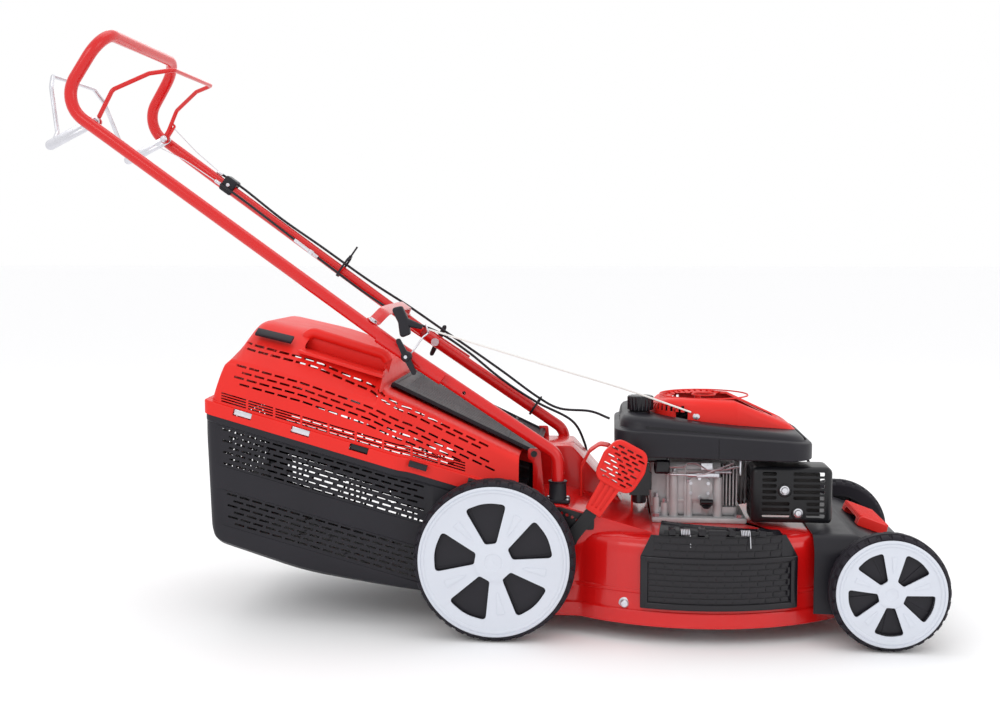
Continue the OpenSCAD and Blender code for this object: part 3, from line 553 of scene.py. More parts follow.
# Wing nuts on the fold bolts
for side, word in SIDES:
    hub = lathe([(3.1, 0), (10, 0), (10, 4), (8.5, 7), (6.5, 9.6), (3.1, 9.6)], 36)
    wings = []
    for flip in (0, 180):
        wing = prism(rounded_outline([(-5.5, 5), (5.5, 5), (4.2, 33), (-1.5, 36), (-4.4, 30)], 3), 1.8, 7.4)
        wings.append(moved(wing, turn("Z", 26 + flip)))
    nut = unite(hub, *wings)
    out = shift(FOLD[0], 200.3 * side, FOLD[1]) @ turn("X", -90 * side)
    add("wing_nut_" + word + "_grip", moved(bevel(nut, 1.1, 3), out), "wing_nut_" + word,
        "black_plastic", ["wing_nut_" + word])

# Both bails turn on one pin each side
pins = lathe([(0.01, 0), (4, 0), (4, 22), (7, 22), (7, 24.5), (5, 26.5), (0.01, 26.9)], 32)
add("bail_pin_heads", mirrored(moved(pins, turn("X", 90), shift(BAIL[0], 188, BAIL[1]))),
    "upper_handle", "zinc", ["bail_pins"])

blade_half = rounded([(-714, 172, 906), (-690, 166, 955), (-636, 130, 988), (-598, 108, 997),
                      (-598, 0, 997)], 14, 6)
wire = sweep(both_sides(blade_half), WIRE_R, 20)
eye = cut(side_prism(circle(*BAIL, 9, 32), 169.5, 174.5),
          side_prism(circle(*BAIL, 4.1, 24), 160, 180))
tab = cut(side_prism(stadium(BAIL, (-701, 924), 12), 170, 174),
          side_prism(circle(*BAIL, 6, 24), 160, 180),
          side_prism(circle(-701, 924, 2, 16), 160, 180))
bail = joined(wire, mirrored(bevel(eye, 0.8)), bevel(tab, 0.6))
add("blade_bail_wire", bail, "blade_bail", "enamel", ["blade_bail"])

drive_half = rounded([(-796, 181.5, 859), (-801, 150, 882), (-824, 120, 968), (-833, 92, 991),
                      (-833, 0, 991)], 14, 6)
wire = sweep(both_sides(drive_half), WIRE_R, 20)
plate = cut(side_prism(stadium(BAIL, (-800, 857), 18), 180, 184),
            side_prism(circle(*BAIL, 4.1, 24), 170, 190),
            side_prism(circle(-741, 886, 2, 16), 170, 190))
add("drive_bail_wire", joined(wire, mirrored(bevel(plate, 0.7))), "drive_bail", "zinc", ["drive_bail"])

# Cable clip with a screw
lie = [turn("Y", SLOPE), shift(-592, 194, 801)]
clip = block((-14, -15, -13), (14, 15, 20))
clip = cut(bevel(clip, 4, 4), rod((-40, 0, 0), (40, 0, 0), 11.2, 32))
add("cable_clip_body", moved(clip, *lie), "upper_handle", "black_plastic", ["cable_clip"])
screw = bevel(moved(lathe([(0.01, 0), (4.2, 0), (4.2, 1.6), (3, 2.6), (0.01, 2.8)], 24),
                    turn("X", 90)), 0.2)
add("cable_clip_screw", moved(screw, shift(0, -14.8, 4), *lie), "upper_handle", "zinc")

# Cables: the upper ends are bare wires to the bails, the rest runs in black sheaths
BLADE_CABLE = [(-604, 194, 826), (-560, 194, 797), (-480, 190, 735), (-400, 188, 680), (-300, 186, 610),
               (-215, 184, 556), (-150, 181, 512), (-90, 177, 472), (-20, 172, 424), (50, 168, 374),
               (96, 158, 352), (157, 135, 350), (196, 118, 338)]
DRIVE_CABLE = [(-604, 176, 806), (-560, 174, 776), (-480, 172, 716), (-400, 170, 655), (-300, 166, 582),
               (-215, 152, 532), (-150, 152, 505), (-90, 152, 466), (-20, 151, 410), (50, 150, 365),
               (120, 143, 330), (146, 146, 285), (154, 150, 245), (168, 150, 222), (180, 150, 206),
               (183, 150, 190)]


def bend_at_fold(obj):
    """Takes the piece off its body and bakes its place into its mesh."""
    obj.parent = None
    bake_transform(obj)
    return obj


for word, line, length in (("blade", BLADE_CABLE, 0.958), ("drive", DRIVE_CABLE, 1.029)):
    route = smooth_path(line, 10)
    sheath = add(word + "_cable", sweep(route, 2.5, 14), "upper_handle",
                 "black_plastic", ["control_cables"] if word == "blade" else [])
    bend_at_fold(sheath)
    ferrule = rod(line[0], Vector(line[0]) + unit(Vector(line[0]) - Vector(line[1])) * 14, 3.4)
    add(word + "_cable_end", bevel(ferrule, 0.6), "upper_handle", "zinc")
adjuster = lathe([(2.6, 0), (4, 0), (4, 12), (5.5, 13), (5.5, 22), (4, 23), (4, 60), (2.6, 60)], 6)
start = Vector((-401, 170, 656))
heading = unit(Vector((-453, 171, 695)) - start)
aim_matrix = heading.to_track_quat("Z", "Y").to_matrix().to_4x4()
add("cable_adjuster", moved(bevel(adjuster, 0.4), aim_matrix, Matrix.Translation(start)),
    "upper_handle", "zinc")
blade_wire = sweep([(-604, 194, 826), (-655, 180, 873), (-699, 172, 921)], 0.9, 8)
add("blade_wire", blade_wire, "upper_handle", "zinc")
drive_wire = sweep([(-604, 176, 806), (-680, 181, 856), (-741, 182, 886)], 0.9, 8)
add("drive_wire", drive_wire, "upper_handle", "zinc")


def tie(name, centre, along, size, body, tail):
    """A cable tie: a band, its lock and its tail."""
    wide, tall = size
    band = rounded_outline([(-wide, -tall), (wide, -tall), (wide, tall), (-wide, tall)], min(size) * 0.9, 8)
    inner = [(x * (1 - 1.3 / wide), y * (1 - 1.3 / tall)) for x, y in band]
    ring = from_rings([[(x, y, -2.2) for x, y in band], [(x, y, 2.2) for x, y in band],
                       [(x, y, 2.2) for x, y in inner], [(x, y, -2.2) for x, y in inner]], closed=True)
    lock = bevel(block((wide - 3, -3.5, -3), (wide + 3.5, 3.5, 3)), 0.7)
    end = block((wide - 0.5, -0.8, -1.8), (wide + tail, 0.5, 1.8))
    pose = unit(along).to_track_quat("Z", "X").to_matrix().to_4x4()
    add(name, moved(joined(ring, lock, end), pose, Matrix.Translation(centre)), body, "black_plastic")


tie("cable_tie_upper", (-350, 183, 637), (-0.814, 0.02, 0.581), (24, 14), "upper_handle", 26)
tie("cable_tie_lower", (44, 162, 353), (-0.83, 0.04, 0.55), (17, 17), "chassis", 10)

# Rope guide, starter rope and grip
GRIP_Y = -191
ring = moved(lathe(circle(6.5, 0, 1.5, 12), 40), turn("X", 90), shift(FOLD[0], -198.2, FOLD[1]))
stalk = sweep(rounded([(-152.5, -198.2, 488.5), (-145, -198.2, 497), (-130, -193, 519),
                       (-121, GRIP_Y, 525.6)], 8, 6), 1.5, 12)
loop = moved(lathe(circle(7.5, 0, 1.5, 12), 40), turn("Y", 72), turn("Z", 13),
             shift(-123, GRIP_Y, 533))
add("rope_guide_wire", joined(ring, stalk, loop), "upper_handle", "zinc", ["rope_guide"])

ROPE = [(341, -101, 380), (230, -127, 421), (110, -149, 459), (0, -169, 494), (-121, GRIP_Y, 532.4)]
rope_route = smooth_path(ROPE, 12)
rope = add("starter_cord", sweep(rope_route, 1.7, 12), "chassis", "rope", ["starter_rope"])
bend_at_fold(rope)

bar = rounded_outline([(-12, -28), (8, -26), (12, 0), (8, 26), (-12, 28), (-7, 0)], [8, 5, 14, 5, 8, 20], 6)
bar = moved(prism(bar, -8, 8), turn("X", 90), turn("Y", -17), shift(-167, GRIP_Y, 546))
bar = bevel(bar, 4.5, 4)
nose = lathe([(0.01, 0), (8, 0), (6.5, 12), (4.5, 26), (3.2, 30), (0.01, 30)], 32)
nose_pose = unit((27, 0, -8.5)).to_track_quat("Z", "Y").to_matrix().to_4x4()
nose = moved(bevel(nose, 0.8), nose_pose, shift(-160, GRIP_Y, 544.6))
add("starter_handle", joined(bar, nose), "starter_grip", "black_plastic", ["starter_grip"])


# ---- wheels ---------------------------------------------------------------

def tyre(r, w, seat_r, bead_r, lug_count):
    """A tyre with blocks round both shoulders and two grooves round the crown."""
    mid = w / 2
    profile = [(seat_r, 1), (bead_r - 4, 0.3), (bead_r, 0), (r - 11, 0.4), (r - 6, 1.6), (r - 3.2, 4)]
    profile += [(r - 2, 6), (r - 1.2, 10), (r - 0.6, mid - 10), (r - 2.6, mid - 9), (r - 2.6, mid - 7)]
    profile += [(r - 0.2, mid - 6), (r, mid), (r - 0.2, mid + 6), (r - 2.6, mid + 7), (r - 2.6, mid + 9)]
    profile += [(r - 0.6, mid + 10), (r - 1.2, w - 12), (r - 2, w - 8), (r - 3.4, w - 5)]
    profile += [(r - 5, w - 3), (bead_r + 2, w - 2), (bead_r + 1, w - 2.6), (bead_r - 4, w - 4.6)]
    profile += [(seat_r, w - 5)]

    def lugs(a, radius, z):
        place = a * lug_count / (2 * math.pi) + (0.5 if z > mid else 0)
        inside = abs(z - mid) > 8 and radius > r - 7
        depth = 3.2 if inside and place % 1 < 0.32 else 0
        return radius - depth, z

    return lathe(profile, lug_count * 12, lugs)


def rim(w, seat_r, hub_r):
    """The moulded wheel inside the tyre: a deep dish with ribs behind the cap."""
    mid = w / 2
    profile = [(6.2, 1), (hub_r, 1), (hub_r, mid - 3), (seat_r - 4, mid - 3), (seat_r - 4, 1.5)]
    profile += [(seat_r, 1.5)]
    profile += [(seat_r, w - 5.2), (seat_r - 4, w - 5.2), (seat_r - 4, w - 11), (hub_r + 1, w - 11)]
    profile += [(hub_r, w - 18), (6.2, w - 18)]
    dish = lathe(profile, 96)
    ribs = [moved(block((hub_r - 2, -1.5, mid - 12), (seat_r - 2, 1.5, w - 9.6)), turn("Z", 36 * k + 8))
            for k in range(10)]
    return joined(dish, *ribs)


def wheel_cap(r, w, hub_r, first_hole):
    """A white cap: a raised ring, a shallow dish, a centre boss and five rounded windows."""
    front = [(r, w - 1.6), (r - 1.2, w - 0.4), (r - 3, w), (r - 4.4, w), (r - 5, w - 1.1), (r - 6, w - 1.1)]
    front += [(r - 6.6, w), (r - 9.4, w), (r - 10.5, w - 0.6), (r - 11.5, w - 2)]
    front += [(0.60 * r, w - 1.5), (0.34 * r, w - 1.9), (0.27 * r, w - 2.4), (0.25 * r, w - 1)]
    front += [(0.23 * r, w - 0.5)]
    front += [(0.12 * r, w - 0.4), (0.11 * r, w - 1.4), (0.01, w - 1.4)]
    back = [(0.01, w - 17), (hub_r - 4, w - 17), (hub_r - 4, w - 4.6), (r, w - 4.6)]
    cap = lathe(front + back, 144)
    windows = []
    for k in range(5):
        corner = [(0.245 * r, -0.075 * r), (0.735 * r, -0.275 * r), (0.80 * r, 0), (0.735 * r, 0.275 * r),
                  (0.245 * r, 0.075 * r)]
        outline = rounded_outline(corner, [0.05 * r, 0.06 * r, 0.8 * r, 0.06 * r, 0.05 * r], 7)
        windows.append(moved(prism(outline, w - 9, w + 6), turn("Z", first_hole + 72 * k)))
    wedges = []
    for k in range(5):
        outline = rounded_outline([(0.33 * r, 0), (0.70 * r, -0.055 * r), (0.70 * r, 0.055 * r)], 0.02 * r, 4)
        wedges.append(moved(prism(outline, w - 3, w - 0.7), turn("Z", first_hole + 36 + 72 * k)))
    return joined(bevel(cut(cap, *windows), 0.7, 2, 40), *[bevel(wedge, 0.5, 2) for wedge in wedges])


def wheel(place, side, x, z, r, w, cap_r, hub_r, first_hole):
    body = "wheel_" + place
    pose = shift(x, side * (TRACK / 2 - w), z) @ turn("X", -90 * side)
    seat_r = cap_r - 18
    lug_count = 40 if r > 120 else 30
    add("tyre_" + place, moved(tyre(r, w, seat_r, cap_r, lug_count), pose), body, "tyre",
        ["wheel_" + place], 42)
    add("rim_" + place, moved(rim(w, seat_r, hub_r), pose), body, "black_plastic")
    cap = moved(wheel_cap(cap_r, w, hub_r, first_hole), pose)
    add("cap_" + place, cap, body, "cap", ["hubcap_" + place])


for side, word in SIDES:
    wheel("rear_" + word, side, 0, REAR_R, REAR_R, REAR_W, REAR_R - 10, 20, 26)
    wheel("front_" + word, side, WHEELBASE, FRONT_R, FRONT_R, FRONT_W, FRONT_R - 9, 16, 51)


# ---- deck, apron and side chute -------------------------------------------

DECK_REAR, DECK_FRONT = 60, 612
DECK_HALF = 192
DECK_TOP = 180
BULGE_X, BULGE_R, BULGE_W = 350, 366, 255
REAR_PIVOT = (87.1, REAR_R - 22.5)
FRONT_PIVOT = (702.97, 77.5)
PIVOT_R = 9.4
SIDE_HINGE = (-262, 197)


def bulge_y(x, r=BULGE_R):
    """Half width of the bulge beside the blade."""
    return math.sqrt(r * r - (x - BULGE_X) ** 2) + BULGE_W - BULGE_R


def deck_outline():
    """The deck seen from above, as evenly rounded points, clockwise from the rear middle."""
    front_y = bulge_y(DECK_FRONT)
    half = [(DECK_REAR, DECK_HALF), (145, DECK_HALF)]
    half += [(x, bulge_y(x)) for x in range(172, 590, 19)]
    half += [(DECK_FRONT, front_y)]
    corners = half + [(x, -y) for x, y in half[::-1]]
    radii = [26, 40] + [4] * (len(half) - 3) + [34]
    return rounded_outline(corners, radii + radii[::-1], 5)


def inset(outline, distance):
    """Each point moved in along its own normal."""
    out = []
    count = len(outline)
    for i, (x, y) in enumerate(outline):
        (ax, ay), (bx, by) = outline[i - 1], outline[(i + 1) % count]
        dx, dy = bx - ax, by - ay
        size = math.hypot(dx, dy) or 1
        out.append((x + dy / size * distance, y - dx / size * distance))
    return out


def deck_solid(profile):
    outline = deck_outline()
    return from_rings([[(x, y, z) for x, y in inset(outline, d)] for d, z in profile])


outside = [(-3, 30), (-4, 31), (-4, 54), (-3, 55.5), (-0.5, 56.5), (0, 58), (1, 84)]
outside += [(-0.6, 86), (-0.6, 90), (1.2, 92)]
outside += [(2.5, 150), (4, 160), (7, 168), (12, 175), (19, 179), (26, 180)]
hollow = [(-2, 25), (-1, 30), (-1, 54), (1.6, 57), (2.4, 84), (4.4, 150), (6, 159), (9, 166.5), (14, 173),
          (20, 177), (27, 178)]
hump = rounded_outline([(60, 60), (60, 225), (112, 225), (272, 180), (272, 60)], [2, 12, 60, 4, 2], 8)
hump_out = bevel(side_prism(hump, -DECK_HALF, DECK_HALF), 11, 5, 50)
hump_low = rounded_outline([(62, 50), (62, 223), (112, 223), (264, 180), (264, 50)], [2, 10, 60, 4, 2], 8)
hump_in = bevel(side_prism(hump_low, 2 - DECK_HALF, DECK_HALF - 2), 9, 5, 50)
deck = unite(deck_solid(outside), hump_out)
deck = cut(deck, deck_solid(hollow))
deck = cut(deck, hump_in)

DUCT = [(140, 68), (60, 173), (60, 300), (125, 300), (232, 181), (232, 100)]
DUCT_HOLLOW = [(143, 71.5), (58, 180), (58, 297.5), (124, 297.5), (229, 180), (262, 178), (262, 40),
               (150, 40)]
duct = bevel(side_prism(rounded_outline(DUCT, [4, 3, 6, 14, 4, 4], 4), 5, 138), 2.5, 3)
deck = unite(deck, duct)
deck = cut(deck, side_prism(DUCT_HOLLOW, 7, 136))
REAR_EAR = [(60, 222), (60, 292), (51, 300), (51, 318), (73, 318), (82, 222)]
FRONT_EAR = [(609, 55), (609, 168), (620, 168), (718, 98), (718, 62), (700, 56)]
for y0, y1, outline, radii in ((147, 150, REAR_EAR, 5), (139, 144, FRONT_EAR, 6)):
    ear = side_prism(rounded_outline(outline, radii, 4), y0, y1)
    deck = unite(deck, mirrored(bevel(ear, 0.5)))
chute = bevel(block((262, -300, 62), (506, -200, 172)), 10, 4)
deck = cut(deck, chute)
openings = [moved(prism(circle(0, 0, 22, 48), 165, 195), shift(CRANK_X, 0, 0)),
            block((55, -150, 158), (65, -32, 186)),
            side_prism(circle(*REAR_PIVOT, PIVOT_R, 32), -205, 205),
            side_prism(circle(*FRONT_PIVOT, PIVOT_R, 32), -150, 150),
            rod((*CABLE_HOLE, 175), (*CABLE_HOLE, 230), 8)]
openings += [rod((x, y, 170), (x, y, 195), 4.1) for x in BOLT_X for y in (-BOLT_Y, BOLT_Y)]
for opening in openings:
    deck = cut(deck, opening)
add("deck", deck, "chassis", "enamel", ["deck_shell"], 30)

# A bolt with its washer beside the rear wheel
side_bolt_x = 224
wall_y = -bulge_y(side_bolt_x) + 2
lean = turn("Z", math.degrees(math.atan2(BULGE_X - side_bolt_x, BULGE_R)) * -1)
washer = lathe([(0.01, 0), (11, 0), (11, 1.2), (7.5, 1.6), (7.2, 3.6), (5.5, 5.4), (0.01, 5.8)], 40)
add("deck_side_bolt", moved(bevel(washer, 0.3), turn("X", 90), lean, shift(side_bolt_x, wall_y, 64)),
    "chassis", "zinc")

# The black apron over the front axle
APRON_HALF = 219
apron_side = [(545, 40), (545, 184), (614, 184), (735, 140), (745, 116), (745, 62), (738, 40)]
inner_side = [(530, 30), (530, 181), (613.5, 181), (732.5, 137.7), (742, 115), (742, 62), (736, 30)]


def apron_form(side, radii, half_w, shoulder_z, top_w, top_z):
    """The side outline, narrowed by rounded shoulders."""
    section = rounded_outline([(-half_w, 20), (-half_w, shoulder_z), (-top_w, top_z), (top_w, top_z),
                               (half_w, shoulder_z), (half_w, 20)], [1, 26, 22, 22, 26, 1], 6)
    across = from_rings([[(x, y, z) for y, z in section] for x in (500, 780)])
    return overlap(side_prism(rounded_outline(side, radii, 6), -half_w, half_w), across)


apron = apron_form(apron_side, [1, 2, 30, 16, 20, 14, 2], APRON_HALF, 158, 200, 184)
inner = apron_form(inner_side, [1, 2, 28, 14, 18, 12, 2], 216, 156, 198, 181)
apron = cut(apron, inner)
apron = cut(apron, block((500, -240, 20), (760, 240, 50)))
slots = mirrored(block((646, 205, 40), (684, 232, 124)))
apron = cut(apron, slots)
apron = cut(apron, block((553, 190, 165), (618, 206, 195)))
seat = mirrored(block((551, 61, DECK_TOP), (569, 79, 182)))
ribs = [bevel(block((740, y - 1.6, 66), (746.6, y + 1.6, 118)), 0.8) for y in range(-180, 181, 30)]
frame_bar = bevel(block((741, -196, 58), (746.2, 196, 63)), 1)
frame_top = bevel(block((739, -196, 117), (745.6, 196, 121)), 1)
add("apron_shell", joined(apron, seat), "chassis", "black_plastic", ["front_apron"])
add("apron_ribs", joined(*[moved(rib, shift(-1.4, 0, 0)) for rib in ribs + [frame_bar, frame_top]]),
    "chassis", "black_plastic")

# Red carry bar on the apron
lean = [turn("Y", 20), shift(668, 0, 164.4)]
bar_side = rounded_outline([(-27, 0.3), (-27, 19), (27, 19), (27, 0.3)], [2, 9, 9, 2], 6)
bar = bevel(side_prism(bar_side, -75, 75), 5, 4, 50)
bar = cut(bar, bevel(block((-40, -50, -12), (40, 50, 11)), 7, 4))
grips = [bevel(block((-27.8, y - 2.2, 4), (27.8, y + 2.2, 20)), 1.6) for y in range(-66, 67, 11)]
grips = [cut(grip, block((-40, -51, -5), (40, 51, 11.5))) for grip in grips]
add("front_carry_bar", moved(bar, *lean), "chassis", "red_plastic", ["front_carry_handle"])
add("front_bar_ribs", moved(joined(*grips), *lean),
    "chassis", "red_plastic")

# Red strap handle behind the engine
strap_out = [(143, 214), (143, 270), (158, 300), (178, 314), (196, 311), (222, 284), (240, 240), (240, 187)]
strap_in = [(146.4, 214), (146.4, 269), (160.5, 297.5), (178, 310.6), (194, 308), (218.6, 282.6),
            (236.6, 240), (236.6, 187)]
loop = strap_out + strap_in[::-1]
loop = rounded_outline(loop, [0.3, 20, 16, 14, 14, 20, 30, 0.3, 0.3, 28, 18, 12, 12, 14, 18, 0.3], 5)
strap = bevel(side_prism(loop, -62, -22), 1.2, 3, 50)
add("strap_handle", strap, "chassis", "red_plastic", ["rear_carry_handle"])

# ---- side flap: a framed panel with rows of raised bricks -----------------


def on_bulge(u, depth, z):
    """A point on the right side of the bulge: u along the arc, depth out from the deck."""
    a = u / BULGE_R
    r = BULGE_R + depth
    return (BULGE_X + r * math.sin(a), BULGE_R - BULGE_W - r * math.cos(a), z)


def bent_block(u0, u1, d0, d1, z0, z1, cells=1):
    """A block that follows the bulge."""
    rings = []
    for k in range(cells + 1):
        u = u0 + (u1 - u0) * k / cells
        rings.append([on_bulge(u, d0, z0), on_bulge(u, d0, z1), on_bulge(u, d1, z1), on_bulge(u, d1, z0)])
    return from_rings(rings)


FLAP_U0, FLAP_U1 = -100, 169
FRAME_TOP = 152
flap_parts = [bent_block(FLAP_U0, FLAP_U1, 4, 6, 64, 189, 40)]
for u0, u1, z0, z1 in ((FLAP_U0, FLAP_U1, FRAME_TOP - 9, FRAME_TOP), (FLAP_U0, FLAP_U1, 62, 73),
                       (FLAP_U0, FLAP_U0 + 13, 62, FRAME_TOP), (FLAP_U1 - 13, FLAP_U1, 62, FRAME_TOP)):
    flap_parts.append(bevel(bent_block(u0, u1, 4, 9.4, z0, z1, 40 if u1 - u0 > 20 else 2), 2, 3, 40))


def brick_course(row, z0, z1, low_u, high_u):
    """One course of raised bricks, every second one shifted by half a brick."""
    u = low_u - (14 if row % 2 else 0)
    while u < high_u:
        start, end = max(u, low_u), min(u + 26.8, high_u)
        if end - start > 5:
            flap_parts.append(bevel(bent_block(start, end, 5, 7.2, z0, z1, 3), 0.9, 2, 40))
        u += 28


for row in range(7):
    brick_course(row, 74 + row * 9.8, 82.8 + row * 9.8, FLAP_U0 + 14, FLAP_U1 - 14)
for row in range(3):
    brick_course(row, FRAME_TOP + 1.4 + row * 11.8, FRAME_TOP + 12 + row * 11.8, FLAP_U0 + 22, FLAP_U1 - 30)
corner_cuts = []
for u0, u1 in ((FLAP_U0 - 20, FLAP_U0), (FLAP_U1, FLAP_U1 + 20)):
    lean_u = 20 if u0 < 0 else -26
    rings = [[on_bulge(u + (lean_u if u in (FLAP_U0, FLAP_U1) and z > 160 else 0), d, z)
              for d, z in ((0, FRAME_TOP), (14, FRAME_TOP), (14, 195), (0, 195))] for u in (u0, u1)]
    corner_cuts.append(from_rings(rings))
panel = flap_parts.pop(0)
for corner in corner_cuts:
    panel = cut(panel, corner)
flap_parts.append(panel)
knuckle = moved(lathe([(3.3, 0), (5.2, 0), (5.2, 30), (3.3, 30)], 32), turn("Y", 90),
                shift(362, SIDE_HINGE[0], SIDE_HINGE[1]))
arm = bevel(block((363, -266, 184), (391, -259, 194.4)), 1.2)
flap_parts += [knuckle, arm]
add("side_flap_panel", joined(*flap_parts), "side_flap", "gloss_black", ["side_flap"])

# The bracket over the chute: its top edge falls towards the front
rings = []
for k in range(41):
    u = -70 + 222 * k / 40
    top = 207 - 17 * k / 40
    section = [(-34, 180), (-34, top - 5), (-31, top), (-24, top), (-6, top - 9)]
    section += [(1.6, top - 17 if top > 198 else 181.5), (1.6, 180)]
    rings.append([on_bulge(u, d, z) for d, z in section])
bracket = from_rings(rings)
notches = [bent_block(u, u + 9, -20, 4, 188, 196) for u in (-36, 82)]
bracket = cut(bracket, *notches)
for x in (296, 346, 396, 446):
    lug = bevel(block((x, SIDE_HINGE[0] - 4, 192), (x + 12, -240, 202)), 1.6)
    bracket = joined(bracket, lug)
ridges = [bevel(bent_block(u, u + 2, -30, -25, 180, 208 - 17 * (u + 70) / 222), 0.6)
          for u in range(-64, 150, 22)]
add("chute_bracket", joined(bracket, *ridges), "chassis", "gloss_black", ["discharge_bracket"])


def coil(start, end, r, wire_r, turns, ends=0):
    """A spring wound about a line along X."""
    steps = turns * 20
    points = []
    for k in range(steps + 1):
        a = 2 * math.pi * turns * k / steps
        x = start[0] + (end[0] - start[0]) * k / steps
        points.append((x, start[1] + r * math.cos(a), start[2] + r * math.sin(a)))
    if ends:
        points.append((points[-1][0] + 1, points[-1][1] - 4, points[-1][2] - ends))
    return sweep(points, wire_r, 8)


hinge_z = SIDE_HINGE[1]
springs = [coil((x, SIDE_HINGE[0], hinge_z), (x + 16, SIDE_HINGE[0], hinge_z), 4.8, 0.9, 6, 26)
           for x in (316, 416)]
add("side_flap_springs", joined(*springs), "chassis", "zinc")


# ---- grass catcher --------------------------------------------------------

SEAM_REAR = (-512, 385)
SEAM_FALL = (385 - 232) / (30 + 512)      # how much the seam drops for each millimetre forward
SEAM_ANGLE = math.degrees(math.atan(SEAM_FALL))
WALL = 3
CATCHER_HALF = 229


def seam_z(x):
    return SEAM_REAR[1] - SEAM_FALL * (x - SEAM_REAR[0])


def soft_line(points, reaches, steps=4):
    """An open line whose inner corners are rounded over the given reaches."""
    points = [Vector(p) for p in points]
    out = [points[0]]
    for before, corner, after, reach in zip(points, points[1:], points[2:], reaches):
        a, b = before - corner, after - corner
        start = corner + a.normalized() * min(reach, a.length * 0.48)
        end = corner + b.normalized() * min(reach, b.length * 0.48)
        for k in range(steps + 1):
            t = k / steps
            out.append((1 - t) ** 2 * start + 2 * t * (1 - t) * corner + t ** 2 * end)
    return out + [points[-1]]


def stations(line, spacing=16):
    """The points of a line, with more of them where it runs straight."""
    out = [line[0]]
    for a, b in zip(line, line[1:]):
        cells = max(1, round((b - a).length / spacing))
        out += [a + (b - a) * (k + 1) / cells for k in range(cells)]
    return [(p.x, p.y) for p in out]


def corner_half(x, rear, half, r):
    """Half width near the rounded rear corners."""
    reach = r - (x - rear)
    return half if reach <= 0 else half - r + math.sqrt(max(0, r * r - reach * reach))


def wheel_step(x):
    """The catcher is narrower where it passes between the rear wheels."""
    return 15 * blend_between(-176, -146, x)


top_line = soft_line([(-516, 398), (-516, 412), (-503, 418), (-484, 470), (-457, 524), (-438, 543),
                      (-293, 511), (-207, 468), (-203, 427), (-60, 359.5), (38, 313)],
                     [6, 5, 8, 30, 16, 50, 10, 6, 30])
top_line = [Vector((p.x + k * 0.01, p.y)) for k, p in enumerate(top_line)]
TOP = stations(top_line)
base_line = soft_line([(-512.5, 384), (-511, 160), (-497, 145), (-345, 95), (-200, 72), (-110, 62), (-92, 78),
                       (-80, 188), (30, 196)], [30, 10, 40, 60, 8, 10, 12])
base_line = [Vector((p.x + k * 0.01, p.y)) for k, p in enumerate(base_line)]
BASE = stations(base_line)
CREASE = 104                    # height of the crease in the side above the seam


def top_ring(x, z_top, gap):
    seam = seam_z(x)
    low = seam - (25 if gap else 0)
    flange = corner_half(x, -516, CATCHER_HALF, 16) - wheel_step(x) - gap
    body = corner_half(x, -504, CATCHER_HALF - 6, 20) - wheel_step(x) - gap
    z_top -= gap
    flange_z = max(seam + 4, min(seam + 24, z_top - 3)) - gap
    front = blend_between(-214, -196, x)
    crease_z = min(seam + CREASE, z_top - 8) * (1 - front) + (z_top - 10) * front
    crease_z = max(crease_z, flange_z + 1)
    crease_half = body - max(0, crease_z - flange_z) * 0.13
    ridge = 118 * (1 - front) + (crease_half - 12) * front
    ridge = min(ridge, crease_half - 4)
    half = soft_line([(flange, low), (flange, flange_z), (body, flange_z + 0.8), (crease_half, crease_z),
                      (ridge, z_top), (ridge * 0.4, z_top + 1.5 * (1 - front) - 1.5), (0, z_top)],
                     [2.5, 1.5, 9, 34, 20])
    ring = [(x, p.x, p.y) for p in half]
    return ring + [(x, -y, z) for x, y, z in ring[-2::-1]]


def base_ring(x, z_bottom, gap):
    seam = seam_z(x)
    high = seam + (25 if gap else 0)
    lip = corner_half(x, -513, CATCHER_HALF - 1, 15) - wheel_step(x) - gap
    z_bottom = min(z_bottom, seam - 1) + gap
    depth = seam - z_bottom
    recess = 2.2 * blend_between(-494, -490, x) * (1 - blend_between(-118, -114, x)) * (0 if gap else 1)

    def half_at(z):
        leaning = 229 - 34 * (385 - z) / 345
        return min(lip - 3, leaning - gap - (corner_half(x, -513, 0, 15) * -1), CATCHER_HALF - gap)

    def level(drop, inward=0.0):
        z = max(seam - drop, z_bottom + 12)
        return (half_at(z) - inward, z)

    points = [(lip, high), (lip, max(seam - 11, z_bottom + 14)), level(13)]
    reaches = [2, 1.5]
    for top, bottom in ((14, 88), (129, 197)):
        points += [level(top), level(top + 1.5, recess), level(bottom - 1.5, recess), level(bottom)]
        reaches += [0.8] * 4
    corner = (half_at(z_bottom), z_bottom)
    points += [corner, (half_at(z_bottom) * 0.5, z_bottom), (0, z_bottom)]
    reaches += [0.0 if depth < 20 else min(26, depth * 0.25), 10]
    reaches = reaches[:len(points) - 2]
    half = soft_line(points, reaches, 3)
    ring = [(x, p.x, p.y) for p in half]
    return ring + [(x, -y, z) for x, y, z in ring[-2::-1]]


def inner_line(line, lowest):
    """The line of the hollow inside a wall of even thickness."""
    def value(x):
        near = [along_table(line, x + d) for d in (-4, 0, 4)]
        return min(near) if lowest else max(near)

    xs = [x for x, _ in line if line[0][0] + WALL + 0.5 < x < 30]
    return [(x, value(x)) for x in [line[0][0] + WALL] + xs + [36, 60]]


shell_top = from_rings([top_ring(x, z, 0) for x, z in TOP])
shell_top = cut(shell_top, from_rings([top_ring(x, z, WALL) for x, z in inner_line(TOP, True)]))
shell_base = from_rings([base_ring(x, z, 0) for x, z in BASE])
shell_base = cut(shell_base, from_rings([base_ring(x, z, WALL) for x, z in inner_line(BASE, False)]))


